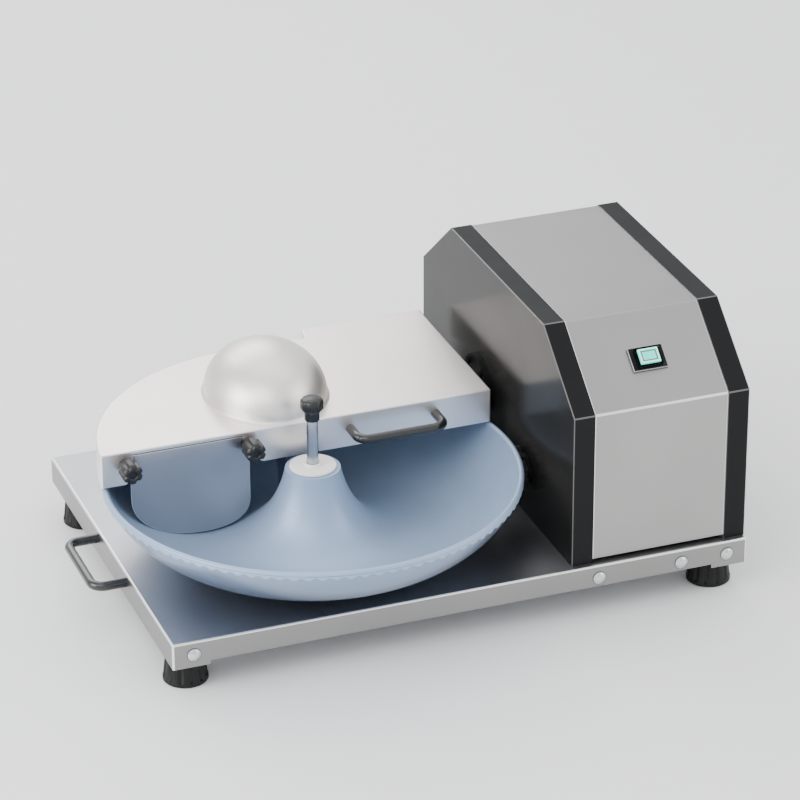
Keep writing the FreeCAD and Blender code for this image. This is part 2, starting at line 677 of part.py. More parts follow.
def hinge_lugs():
    # Lugs welded to the back skirt of the lid, each with a round eye on the hinge axis.
    lugs = []
    for x in lug_places():
        eye = rod(V(x, HINGE_Y, HINGE_Z), X, LUG_R, LUG_THICK)
        arm = box(x, x + LUG_THICK, LID_BACK, HINGE_Y, HINGE_Z - LUG_R, HINGE_Z + LUG_R)
        lug = eye.fuse(arm).cut(rod(V(x - 1, HINGE_Y, HINGE_Z), X, PIN_R + RUNNING, LUG_THICK + 2))
        lugs.append(lug)
    return group(lugs)


def lug_places():
    gap = BRACKET_SHEET + 1
    return [BRACKET_LEFT + gap, BRACKET_RIGHT - gap - LUG_THICK]


def hinge_bracket():
    # A bent bracket behind the bowl: foot, upright web and two ears that hold the pin.
    s = BRACKET_SHEET
    web_y = HINGE_Y + LUG_R + 2
    web = box(BRACKET_LEFT, BRACKET_RIGHT, web_y, web_y + s, 0, HINGE_Z + 2)
    foot = box(BRACKET_LEFT, BRACKET_RIGHT, HINGE_Y - 12, web_y + s, 0, s)
    body = web.fuse(foot)
    for x in (BRACKET_LEFT, BRACKET_RIGHT - s):
        side = polygon([V(x, HINGE_Y - 12, 0), V(x, web_y + s, 0), V(x, web_y + s, HINGE_Z + 2),
                        V(x, HINGE_Y - LUG_R + 1, HINGE_Z + 2), V(x, HINGE_Y - LUG_R + 1, HINGE_Z - 8)])
        ear = side.extrude(V(s, 0, 0)).fuse(rod(V(x, HINGE_Y, HINGE_Z), X, LUG_R, s))
        body = body.fuse(ear)
    body = body.cut(rod(V(BRACKET_LEFT - 1, HINGE_Y, HINGE_Z), X, PIN_R, BRACKET_RIGHT - BRACKET_LEFT + 2))
    for p in bracket_bolt_places():
        body = body.cut(rod(p - V(0, 0, 1), Z, SCREW_R, s + 2))
    return body


def bracket_bolt_places():
    y = HINGE_Y - 1
    return [V(BRACKET_LEFT + 22, y, 0), V(BRACKET_RIGHT - 22, y, 0)]


def hinge_pin():
    pin = rod(V(BRACKET_LEFT - 6, HINGE_Y, HINGE_Z), X, PIN_R, BRACKET_RIGHT - BRACKET_LEFT + 12)
    return pin.fuse(rod(V(BRACKET_LEFT - 8, HINGE_Y, HINGE_Z), X, PIN_R + 2.5, 2.5 + 0.5))


def bolts(places, head_z, up, grip):
    # Hexagon-head bolts: the head sits at head_z and the shank goes down through the sheet.
    parts = []
    for p in places:
        head = hexagon(V(p.x, p.y, head_z), X, Y, 6.5).extrude(V(0, 0, up))
        parts.append(head.fuse(rod(V(p.x, p.y, head_z - grip), Z, SCREW_R, grip)))
    return group(parts)


def housing_outline(inset, x):
    # Side view of the motor housing: upright front, slope, flat top, rear slope, upright back.
    p = [V(x, HOUSING_FRONT, 0), V(x, HOUSING_FRONT, SLOPE_Z), V(x, HOUSING_FRONT + SLOPE_RUN, HOUSING_TOP),
         V(x, TOP_BACK, HOUSING_TOP), V(x, HOUSING_BACK, SLOPE_Z), V(x, HOUSING_BACK, 0)]
    face = polygon(p)
    return face.makeOffset2D(-inset, 2, False, False, True) if inset else face


def cheek(outer_x, side):
    # A shallow pan: a flat outer face and a deep edge band, open towards the housing.
    x0 = outer_x if side > 0 else outer_x - CHEEK_THICK
    block = housing_outline(0, x0).extrude(V(CHEEK_THICK, 0, 0))
    rim = [e for e in block.Edges if e.BoundBox.ZMax > 1
           and abs(e.BoundBox.XMin - outer_x) < 0.01 and abs(e.BoundBox.XMax - outer_x) < 0.01]
    block = block.makeFillet(2.0, rim)
    x1 = x0 + CHEEK_WALL if side > 0 else x0 - 1
    hollow = housing_outline(CHEEK_WALL, x1).extrude(V(CHEEK_THICK - CHEEK_WALL + 1, 0, 0))
    return block.cut(hollow)


def left_cheek():
    body = cheek(HOUSING_LEFT, 1)
    body = body.cut(rod(V(HOUSING_LEFT - 1, KNIFE_Y, KNIFE_Z), X, HOUSING_TUBE_R, CHEEK_WALL + 2))
    return body.cut(rod(V(HOUSING_LEFT - 1, PINION_Y, PINION_Z), X, PINION_SHAFT_R + 5, CHEEK_WALL + 2))


def cover_ring(x0, x1):
    outer = housing_outline(COVER_INSET, x0).extrude(V(x1 - x0, 0, 0))
    inner = housing_outline(COVER_INSET + COVER_SHEET, x0 - 1).extrude(V(x1 - x0 + 2, 0, 0))
    return outer.cut(inner).cut(box(x0 - 1, x1 + 1, 0, TRAY_DEPTH + 20, -1, COVER_GAP))


def cover_span():
    return HOUSING_LEFT + CHEEK_THICK, TRAY_LENGTH - CHEEK_THICK


def wrap_cover():
    x0, x1 = cover_span()
    ring = cover_ring(x0, x1)
    front = ring.common(box(x0, x1, 0, TOP_BACK - COVER_JOINT, 0, HOUSING_TOP + 5))
    hole = switch_block(BEZEL_W - 6, BEZEL_H - 6, -10, 10)
    return front.cut(hole)


def rear_cover():
    x0, x1 = cover_span()
    ring = cover_ring(x0, x1)
    back = ring.common(box(x0, x1, TOP_BACK - COVER_JOINT, TRAY_DEPTH + 20, 0, HOUSING_TOP + 5))
    half = louvre_half_width()
    for x, z in louvre_places():
        back = back.cut(box(x - half, x + half, HOUSING_BACK - 6, HOUSING_BACK + 6, z, z + LOUVRE_SLOT))
    for p in cover_screw_places():
        back = back.cut(rod(p - Y * 10, Y, COVER_SCREW_R, 20))
    return back.cut(rod(V(x0 + 30, HOUSING_BACK - 10, GLAND_Z), Y, GLAND_R - 2, 20))


def louvre_half_width():
    x0, x1 = cover_span()
    return 0.163 * (x1 - x0)


def louvre_places():
    # Two columns of slots, with as many rows as fit under the rear slope.
    x0, x1 = cover_span()
    aside = 0.2175 * (x1 - x0)
    rows = int((SLOPE_Z - 28 - LOUVRE_LOW) / LOUVRE_PITCH) + 1
    middle = (x0 + x1) / 2
    return [(middle + s * aside, LOUVRE_LOW + LOUVRE_PITCH * i) for s in (-1, 1) for i in range(rows)]


def louvre_hoods():
    # Pressed hoods over the rear slots, open at the bottom.
    y = HOUSING_BACK - COVER_INSET
    half = louvre_half_width() + HOOD_OVERLAP
    out = LOUVRE_RISE + 1.2
    hoods = []
    for x, z in louvre_places():
        form = [(y, z + 7), (y + out, z + 2.5), (y + out, z), (y + LOUVRE_RISE, z), (y + LOUVRE_RISE, z + 2),
                (y, z + 5.2)]
        section = polygon([V(x - half, a, b) for a, b in form])
        hoods.append(section.extrude(X * (2 * half)))
    return group(hoods)


def slope_frame():
    # Middle of the switch on the slope, with the slope's up direction and outward normal.
    length = math.hypot(SLOPE_RUN, HOUSING_TOP - SLOPE_Z)
    up = V(0, SLOPE_RUN / length, (HOUSING_TOP - SLOPE_Z) / length)
    out = V(0, -up.z, up.y)
    base = V(SWITCH_X, HOUSING_FRONT, SLOPE_Z) + up * SWITCH_UP - out * COVER_INSET
    return base, up, out


def switch_block(width, height, low, high):
    base, up, out = slope_frame()
    w, h = X * (width / 2), up * (height / 2)
    p = [base - w - h, base + w - h, base + w + h, base - w + h]
    return polygon([q + out * low for q in p]).extrude(out * (high - low))


def switch_bezel():
    body = switch_block(BEZEL_W, BEZEL_H, 0, BEZEL_T).fuse(switch_block(COLLAR_W, COLLAR_D, 0, COLLAR_RISE))
    body = body.fuse(switch_block(BEZEL_W - 7, BEZEL_H - 7, -26, 0))
    wall = 2 * COLLAR_WALL
    return body.removeSplitter().cut(switch_block(COLLAR_W - wall, COLLAR_D - wall, -12, COLLAR_RISE + 1))


def power_button():
    slack = 2 * COLLAR_WALL + 2 * GAP
    low = -12 + BUTTON_TRAVEL + GAP
    body = switch_block(COLLAR_W - slack, COLLAR_D - slack, low, COLLAR_RISE + BUTTON_RISE)
    top = [e for e in body.Edges if e.Length > 3 and is_high(e)]
    return body.makeFillet(1.2, top)


def is_high(edge):
    base, up, out = slope_frame()
    heights = [(v.Point - base).dot(out) for v in edge.Vertexes]
    return min(heights) > COLLAR_RISE + BUTTON_RISE - 0.1


def knife_housing():
    # Flange on the cheek and a long tube that carries the two shaft bearings.
    start = V(HOUSING_LEFT - HOUSING_FLANGE, KNIFE_Y, KNIFE_Z)
    length = KNIFE_TUBE
    body = rod(start, X, HOUSING_FLANGE_R, HOUSING_FLANGE).fuse(rod(start, X, HOUSING_TUBE_R - GAP, length))
    body = body.cut(rod(start - V(1, 0, 0), X, SHAFT_R + 2, length + 2))
    seat = BEARING_WIDTH + SEAL_WIDTH
    for x in (start.x, start.x + length - BEARING_WIDTH):
        depth = seat if x == start.x else BEARING_WIDTH
        body = body.cut(rod(V(x, KNIFE_Y, KNIFE_Z), X, HOUSING_TUBE_R - 4, depth))
    for p in knife_flange_places():
        body = body.cut(rod(p - X, X, FLANGE_SCREW_R, HOUSING_FLANGE + 2))
    return body


def knife_flange_places():
    c = V(HOUSING_LEFT - HOUSING_FLANGE, KNIFE_Y, KNIFE_Z)
    return [around(c, Y, Z, HOUSING_FLANGE_R - 7, 45 + 90 * i) for i in range(4)]


def knife_flange_screws():
    grip = HOUSING_FLANGE + CHEEK_WALL - 3.2
    places = knife_flange_places()
    return group([rod(p - X * 3, X, 4.5, 3).fuse(rod(p, X, FLANGE_SCREW_R, grip)) for p in places])


def bearing(x):
    # A ball bearing drawn as one ring with a groove in each side, running on the shaft.
    inner, outer = SHAFT_R + RUNNING, HOUSING_TUBE_R - 4
    body = tube(V(x, KNIFE_Y, KNIFE_Z), X, outer, inner, BEARING_WIDTH)
    for side in (x, x + BEARING_WIDTH - 0.8):
        body = body.cut(tube(V(side, KNIFE_Y, KNIFE_Z), X, outer - 2.2, inner + 2.2, 0.8))
    return body


def knife_bearings():
    start = HOUSING_LEFT - HOUSING_FLANGE
    return group([bearing(start + SEAL_WIDTH), bearing(start + KNIFE_TUBE - BEARING_WIDTH)])


def shaft_seal():
    x = HOUSING_LEFT - HOUSING_FLANGE
    return tube(V(x, KNIFE_Y, KNIFE_Z), X, HOUSING_TUBE_R - 4, SHAFT_R + GAP, SEAL_WIDTH)


def knife_places():
    first = KNIFE_X - KNIFE_PITCH * (KNIFE_COUNT - 1) / 2 - KNIFE_THICK / 2
    return [first + KNIFE_PITCH * i for i in range(KNIFE_COUNT)]


def knife(index):
    # A sickle knife: a round hub and one curved blade that ends on the sweep circle.
    o = V(0, 0, 0)
    r = KNIFE_R
    inside = KNIFE_HUB_R - 2
    heel = around(o, Y, Z, inside, -60)
    belly = around(o, Y, Z, 0.93 * r, 36)
    tip = around(o, Y, Z, r, 78)
    root = around(o, Y, Z, inside, 92)
    back = Part.Arc(heel, around(o, Y, Z, 0.62 * r, -10), belly).toShape()
    sweep = Part.Arc(belly, around(o, Y, Z, 0.985 * r, 58), tip).toShape()
    edge = Part.Arc(tip, around(o, Y, Z, 0.62 * r, 62), root).toShape()
    hub = Part.Face(Part.Wire(Part.Circle(o, X, KNIFE_HUB_R).toShape()))
    blade = Part.Face(Part.Wire([back, sweep, edge, Part.makeLine(root, heel)])).fuse(hub).removeSplitter()
    body = blade.extrude(V(KNIFE_THICK, 0, 0))
    body = body.cut(rod(V(-1, 0, 0), X, SHAFT_R, KNIFE_THICK + 2))
    body.rotate(V(0, 0, 0), X, 120 * index + 40)
    body.translate(V(knife_places()[index], KNIFE_Y, KNIFE_Z))
    return body


def knife_spacers():
    x = knife_places()
    gaps = [(x[i] + KNIFE_THICK, x[i + 1]) for i in range(KNIFE_COUNT - 1)]
    gaps.append((x[-1] + KNIFE_THICK, x[-1] + KNIFE_THICK + KNIFE_END))
    return group([tube(V(a, KNIFE_Y, KNIFE_Z), X, KNIFE_HUB_R - 4, SHAFT_R, b - a) for a, b in gaps])


def knife_nut():
    # A left-handed cap nut in front of the first knife.
    x = knife_places()[0]
    body = hexagon(V(x - 16, KNIFE_Y, KNIFE_Z), Y, Z, 14).extrude(V(16, 0, 0))
    cap = Part.makeSphere(13, V(x - 10, KNIFE_Y, KNIFE_Z)).common(rod(V(x - 23, KNIFE_Y, KNIFE_Z), X, 12, 10))
    return body.fuse(cap).cut(rod(V(x - 14, KNIFE_Y, KNIFE_Z), X, SHAFT_R, 16))


def pulley_x():
    return HOUSING_LEFT - HOUSING_FLANGE + KNIFE_TUBE + 6


def knife_shaft():
    start = knife_places()[0] - KNIFE_END
    end = pulley_x() + BELT_WIDTH + 2 * PULLEY_FLANGE + 2
    shaft = rod(V(start, KNIFE_Y, KNIFE_Z), X, SHAFT_R, end - start)
    stop = rod(V(knife_places()[-1] + KNIFE_THICK + KNIFE_END, KNIFE_Y, KNIFE_Z), X, SHAFT_R + 2.5, 5)
    return shaft.fuse(stop)


def pulley(y, z, bore):
    x = pulley_x()
    width = BELT_WIDTH + 2 * PULLEY_FLANGE
    body = rod(V(x, y, z), X, PULLEY_R, width)
    for side in (x, x + width - PULLEY_FLANGE):
        body = body.fuse(rod(V(side, y, z), X, PULLEY_FLANGE_R, PULLEY_FLANGE))
    return body.removeSplitter().cut(rod(V(x - 1, y, z), X, bore, width + 2))


def belt_loop(radius, x, width):
    a = V(x, KNIFE_Y, KNIFE_Z)
    b = V(x, MOTOR_Y, MOTOR_Z)
    along = (b - a).normalize()
    side = V(0, -along.z, along.y)
    p = [a + side * radius, b + side * radius, b - side * radius, a - side * radius]
    edges = [Part.makeLine(p[0], p[1]), Part.Arc(p[1], b + along * radius, p[2]).toShape(),
             Part.makeLine(p[2], p[3]), Part.Arc(p[3], a - along * radius, p[0]).toShape()]
    return Part.Face(Part.Wire(edges)).extrude(V(width, 0, 0))


def drive_belt():
    x = pulley_x() + PULLEY_FLANGE + 0.5
    width = BELT_WIDTH - 1
    return belt_loop(PULLEY_R + GAP + BELT_THICK, x, width).cut(belt_loop(PULLEY_R + GAP, x, width))


def motor_x():
    return pulley_x() - MOTOR_FROM_PULLEY - MOTOR_LENGTH


def drive_motor():
    # Finned motor body with end shields, feet and a fan cover, axis along x.
    x0 = motor_x()
    c = V(x0, MOTOR_Y, MOTOR_Z)
    core = rod(c, X, MOTOR_R - 6, MOTOR_LENGTH)
    for a in range(0, 360, 15):
        fin = box(x0 + 22, x0 + MOTOR_LENGTH - 22, -1.2, 1.2, MOTOR_R - 8, MOTOR_R)
        fin.rotate(V(0, 0, 0), X, a + 7.5)
        fin.translate(V(0, MOTOR_Y, MOTOR_Z))
        core = core.fuse(fin)
    for x in (x0, x0 + MOTOR_LENGTH - 20):
        core = core.fuse(rod(V(x, MOTOR_Y, MOTOR_Z), X, MOTOR_R, 20))
    feet = []
    for x in (x0 + 4, x0 + MOTOR_LENGTH - 24):
        leg = box(x, x + 20, MOTOR_Y - 46, MOTOR_Y + 46, MOTOR_PLATE, MOTOR_Z - 30)
        feet.append(leg)
    core = core.fuse(feet)
    return core.cut(rod(V(x0 + MOTOR_LENGTH - 40, MOTOR_Y, MOTOR_Z), X, MOTOR_SHAFT_R + RUNNING, 41))


def motor_plate():
    x0 = motor_x()
    top = MOTOR_PLATE
    y0, y1 = MOTOR_Y - MOTOR_BASE_HALF, MOTOR_Y + MOTOR_BASE_HALF
    plate = box(x0 - 4, x0 + MOTOR_LENGTH + 2, y0, y1, 0, top)
    plate = plate.cut(box(x0 + 30, x0 + MOTOR_LENGTH - 32, y0 - 1, y1 + 1, -1, top - 4))
    for p in motor_bolt_places():
        plate = plate.cut(rod(V(p.x, p.y, -1), Z, SCREW_R, top + 2))
    return plate


def motor_bolt_places():
    x0 = motor_x()
    aside = MOTOR_BASE_HALF - 7
    return [V(x, MOTOR_Y + s * aside, 0) for x in (x0 + 14, x0 + MOTOR_LENGTH - 14) for s in (-1, 1)]


def motor_rotor():
    x0 = pulley_x() - MOTOR_FROM_PULLEY - 38
    return rod(V(x0, MOTOR_Y, MOTOR_Z), X, MOTOR_SHAFT_R, pulley_x() + BELT_WIDTH + 8 - x0)


def capacitor():
    x0 = motor_x()
    z = MOTOR_Z + MOTOR_R + CAPACITOR_R
    can = rod(V(x0 + 24, MOTOR_Y, z), X, CAPACITOR_R, MOTOR_LENGTH - 56)
    saddle = box(x0 + 40, x0 + MOTOR_LENGTH - 48, MOTOR_Y - 12, MOTOR_Y + 12, MOTOR_Z + MOTOR_R - 2, z - 8)
    return can.fuse(saddle.cut(rod(V(x0, MOTOR_Y, MOTOR_Z), X, MOTOR_R + 0.1, MOTOR_LENGTH)))


def pinion_flange():
    # Black bearing flange on the cheek, with a short tube through it.
    x = HOUSING_LEFT
    c = V(x - 4, PINION_Y, PINION_Z)
    body = rod(c, X, PINION_FLANGE_R, 4).fuse(rod(c, X, PINION_SHAFT_R + 5 - GAP, 12))
    return body.removeSplitter().cut(rod(V(x - 5, PINION_Y, PINION_Z), X, PINION_SHAFT_R + RUNNING, 14))


def gearbox_x():
    return HOUSING_LEFT + CHEEK_THICK + 2.0


def pinion_shaft():
    return rod(V(PINION_X, PINION_Y, PINION_Z), X, PINION_SHAFT_R, gearbox_x() + 30 - PINION_X)


def gear_motor():
    x = gearbox_x()
    half = GEARBOX / 2
    end = x + GEARBOX_LENGTH
    can = HOUSING_WIDTH - GEARMOTOR_ROOM
    body = box(x, end, PINION_Y - half, PINION_Y + half, PINION_Z - half, PINION_Z + half)
    body = body.makeFillet(5, [e for e in body.Edges if abs(e.BoundBox.XLength - GEARBOX_LENGTH) < 0.01])
    body = body.fuse(rod(V(end, PINION_Y, PINION_Z), X, GEARMOTOR_R, can))
    body = body.fuse(rod(V(end + can, PINION_Y, PINION_Z), X, GEARMOTOR_R - 5, 10))
    return body.cut(rod(V(x - 1, PINION_Y, PINION_Z), X, PINION_SHAFT_R + RUNNING, 32))


def gear_bracket():
    x = gearbox_x()
    half = GEARBOX / 2
    top = PINION_Z - half
    s = BRACKET_SHEET
    end = x + GEARBOX_LENGTH
    plate = box(x, end, PINION_Y - half, PINION_Y + half, top - s, top)
    foot = box(x, end, PINION_Y - half - 18, PINION_Y + half + 18, 0, s)
    body = plate.fuse(foot)
    for y in (PINION_Y - half, PINION_Y + half - s):
        body = body.fuse(box(x, end, y, y + s, 0, top))
    for p in gear_bolt_places():
        body = body.cut(rod(V(p.x, p.y, -1), Z, SCREW_R, s + 2))
    return body.removeSplitter()


def gear_bolt_places():
    x = gearbox_x() + GEARBOX_LENGTH / 2
    reach = GEARBOX / 2 + 10
    return [V(x, PINION_Y - reach, 0), V(x, PINION_Y + reach, 0)]


def cable_inlet():
    # Threaded gland body in the rear cover, with a hexagon and an open bore.
    c = V(cover_span()[0] + 30, HOUSING_BACK - COVER_INSET, GLAND_Z)
    body = rod(c - Y * 12, Y, GLAND_R - 2, 12 + GLAND_LENGTH)
    body = body.fuse(hexagon(c, X, Z, GLAND_R).extrude(Y * 7))
    body = body.fuse(hexagon(c - Y * (COVER_SHEET + 5), X, Z, GLAND_R).extrude(Y * 5))
    return body.cut(rod(c - Y * 13, Y, GLAND_BORE, 15 + GLAND_LENGTH))


def cover_screw_places():
    x0, x1 = cover_span()
    y = HOUSING_BACK - COVER_INSET
    columns = (x0 + COVER_SCREW_IN, x1 - COVER_SCREW_IN)
    return [V(x, y, SLOPE_Z * h) for x in columns for h in COVER_SCREW_HEIGHTS]


def cover_screws():
    # Small screws that hold the rear cover to the tabs of the cheeks.
    return group([rod(p, Y, 4, 2.2).fuse(rod(p - Y * 8, Y, COVER_SCREW_R, 8)) for p in cover_screw_places()])


def thrust_washer():
    z = HUB_BOTTOM - 3
    return tube(V(BOWL_X, BOWL_Y, z), Z, HUB_R - 3, POST_R + GAP, 2.9)


def main():
    os.makedirs("parts", exist_ok=True)
    rubber, spacers, foot_bolts = feet()
    tray_body = tray()
    for p in post_bolt_places() + bracket_bolt_places() + motor_bolt_places() + gear_bolt_places():
        tray_body = tray_body.cut(rod(V(p.x, p.y, -20), Z, SCREW_R, 25))
    for p in front_screw_places():
        tray_body = tray_body.cut(rod(p - Y, Y, SCREW_R, 5))
    for p in side_handle_ends():
        tray_body = tray_body.cut(rod(p - X, X, HANDLE_SCREW_R, 5))
    pieces = {
        "base_tray": tray_body,
        "tray_screws": group([dome_screw(p, -Y, 8) for p in front_screw_places()]),
        "rubber_feet": rubber, "foot_spacers": spacers, "foot_bolts": foot_bolts,
        "carry_handle": handle(side_handle_ends(), -X, SIDE_HANDLE_REACH),
        "carry_handle_screws": handle_screws(side_handle_ends(), -X, TRAY_SHEET),
        "left_cheek": left_cheek(), "right_cheek": cheek(TRAY_LENGTH, -1),
        "wrap_cover": wrap_cover(), "rear_cover": rear_cover(), "louvre_hoods": louvre_hoods(),
        "cover_screws": cover_screws(), "cable_inlet": cable_inlet(),
        "switch_bezel": switch_bezel(), "power_button": power_button(),
        "bowl": bowl(), "crown_ring": crown_ring(), "bowl_hub": bowl_hub(), "bowl_bushes": bushes(),
        "bowl_collar": collar(), "spindle_post": spindle_post(), "thrust_washer": thrust_washer(),
        "post_bolts": bolts(post_bolt_places(), POST_FLANGE, 5, POST_FLANGE + 10),
        "clamp_rod": clamp_rod(), "clamp_knob": clamp_knob(),
        "drive_pinion": pinion(), "pinion_shaft": pinion_shaft(), "pinion_flange": pinion_flange(),
        "gear_motor": gear_motor(), "gear_bracket": gear_bracket(),
        "gear_bolts": bolts(gear_bolt_places(), BRACKET_SHEET, 5, BRACKET_SHEET + 10),
        "lid_shell": lid_shell(), "lid_dome": dome(), "lid_handle": handle(lid_handle_ends(), -Y, LID_HANDLE_REACH),
        "lid_handle_screws": handle_screws(lid_handle_ends(), -Y, LID_SHEET),
        "baffle_plate": baffle_plate(), "knob_nuts": knob_nuts(),
        "left_plate_knob": plate_knob(KNOB_A_X), "right_plate_knob": plate_knob(KNOB_B_X),
        "hinge_lugs": hinge_lugs(), "hinge_bracket": hinge_bracket(), "hinge_pin": hinge_pin(),
        "bracket_bolts": bolts(bracket_bolt_places(), BRACKET_SHEET, 5, BRACKET_SHEET + 10),
        "knife_shaft": knife_shaft(), "knife_spacers": knife_spacers(), "knife_nut": knife_nut(),
        "knife_housing": knife_housing(), "knife_bearings": knife_bearings(), "shaft_seal": shaft_seal(),
        "knife_flange_screws": knife_flange_screws(),
        "knife_pulley": pulley(KNIFE_Y, KNIFE_Z, SHAFT_R),
        "motor_pulley": pulley(MOTOR_Y, MOTOR_Z, MOTOR_SHAFT_R),
        "drive_belt": drive_belt(), "drive_motor": drive_motor(), "motor_rotor": motor_rotor(),
        "motor_plate": motor_plate(), "motor_bolts": bolts(motor_bolt_places(), MOTOR_PLATE, 5, 20),
        "start_capacitor": capacitor(),
    }
    knives = group([knife(i) for i in range(KNIFE_COUNT)])
    pieces["knives"] = knives
    for name, shape in pieces.items():
        save(name, shape)


main()
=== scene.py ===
import math
import bmesh
import bpy
from mathutils import Matrix, Quaternion, Vector
from mathutils.geometry import interpolate_bezier


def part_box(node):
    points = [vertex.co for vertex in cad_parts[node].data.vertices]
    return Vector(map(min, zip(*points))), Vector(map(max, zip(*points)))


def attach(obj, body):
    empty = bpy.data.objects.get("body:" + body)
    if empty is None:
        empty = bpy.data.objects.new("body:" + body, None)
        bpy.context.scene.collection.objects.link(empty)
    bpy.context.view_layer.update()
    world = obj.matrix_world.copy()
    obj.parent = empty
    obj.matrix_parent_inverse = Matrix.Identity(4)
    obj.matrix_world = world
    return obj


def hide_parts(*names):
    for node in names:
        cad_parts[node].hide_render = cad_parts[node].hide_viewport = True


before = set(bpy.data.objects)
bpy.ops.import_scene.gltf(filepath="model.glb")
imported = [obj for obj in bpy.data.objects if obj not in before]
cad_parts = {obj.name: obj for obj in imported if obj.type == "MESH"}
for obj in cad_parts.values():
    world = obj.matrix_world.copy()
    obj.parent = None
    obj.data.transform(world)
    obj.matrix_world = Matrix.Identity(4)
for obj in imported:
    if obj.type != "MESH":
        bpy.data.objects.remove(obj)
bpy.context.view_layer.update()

# Pieces are modelled in millimetres from the tray's top front left corner: x right, y back, z up.
# placed() turns them to metres in the frame.
MM = 0.001
tray_low, tray_high = [Vector(corner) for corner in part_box("base_tray")]
CORNER = Vector((tray_low.x, tray_low.y, tray_high.z))


def box_mm(node):
    """Lowest and highest corner of a CAD node in millimetres from the tray's corner."""
    low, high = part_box(node)
    return (Vector(low) - CORNER) / MM, (Vector(high) - CORNER) / MM


# Driving dimensions, read from the frame where a node gives them
PINION = box_mm("drive_pinion")
TRAY = box_mm("base_tray")
LID = box_mm("lid_shell")
DOME = box_mm("lid_dome")
BOWL = box_mm("bowl")
CHEEK = box_mm("left_cheek")
COVER = box_mm("wrap_cover")
PLATE = box_mm("baffle_plate")
COLLAR = box_mm("bowl_collar")
CLAMP = box_mm("clamp_knob")
ROD = box_mm("clamp_rod")
RING = box_mm("crown_ring")
BEZEL = box_mm("switch_bezel")

BOWL_X = (BOWL[0].x + BOWL[1].x) / 2
BOWL_Y = (BOWL[0].y + BOWL[1].y) / 2
RIM_R = BOWL[1].x - BOWL_X
BEAD = 3.4
RIM_Z = RING[1].z + BEAD + 0.6


# Materials

def linear(code):
    """A linear colour from an sRGB hex value."""
    parts = [((code >> shift) & 255) / 255 for shift in (16, 8, 0)]
    return tuple(p / 12.92 if p <= 0.04045 else ((p + 0.055) / 1.055) ** 2.4 for p in parts) + (1.0,)


def add(tree, kind, inputs=None, **settings):
    """Adds one node, with its settings and with the values or links of its inputs."""
    node = tree.nodes.new(kind)
    for name, value in settings.items():
        setattr(node, name, value)
    for name, value in (inputs or {}).items():
        if isinstance(value, bpy.types.NodeSocket):
            tree.links.new(value, node.inputs[name])
        else:
            node.inputs[name].default_value = value
    return node


def begin(name):
    """An empty material and its object coordinates."""
    material = bpy.data.materials.new(name)
    material.use_nodes = True
    tree = material.node_tree
    tree.nodes.clear()
    return material, tree, add(tree, "ShaderNodeTexCoord").outputs["Object"]


def finish_with(tree, shader):
    add(tree, "ShaderNodeOutputMaterial", {"Surface": shader.outputs["BSDF"]})


def per_metre(size_mm):
    """Noise scale for a pattern of this size."""
    return 1.0 / (size_mm * MM)


def brushed_stainless(name, light, dark, rough, grain):
    # Brushed stainless sheet: long fine scratches along one direction spread the highlight across
    # them, and slow clouding in the polish keeps large faces from looking flat. Real scratches are
    # about 0.1 mm apart and are drawn near 1 mm, so that they show.
    material, tree, here = begin(name)
    scratch_mm, streak_mm = 0.9, 60.0
    sizes = [streak_mm if axis == grain else scratch_mm for axis in range(3)]
    stretched = add(tree, "ShaderNodeMapping", {"Vector": here, "Scale": [per_metre(s) for s in sizes]})
    scratches = add(tree, "ShaderNodeTexNoise", {"Vector": stretched.outputs["Vector"], "Scale": 1.0, "Detail": 3.0})
    clouds = add(tree, "ShaderNodeTexNoise", {"Vector": here, "Scale": per_metre(140.0), "Detail": 2.0})
    tone = add(tree, "ShaderNodeMix", {"Factor": clouds.outputs["Fac"], "A": linear(dark), "B": linear(light)},
               data_type="RGBA")
    roughness = add(tree, "ShaderNodeMapRange", {"Value": scratches.outputs["Fac"], "From Min": 0.3, "From Max": 0.7,
                                                 "To Min": rough - 0.02, "To Max": rough + 0.03})
    bump = add(tree, "ShaderNodeBump", {"Height": scratches.outputs["Fac"], "Strength": 0.012, "Distance": 0.0004})
    shader = add(tree, "ShaderNodeBsdfPrincipled", {"Base Color": tone.outputs["Result"], "Metallic": 1.0,
                                                    "Roughness": roughness.outputs["Result"],
                                                    "Normal": bump.outputs["Normal"]})
    finish_with(tree, shader)
    return material


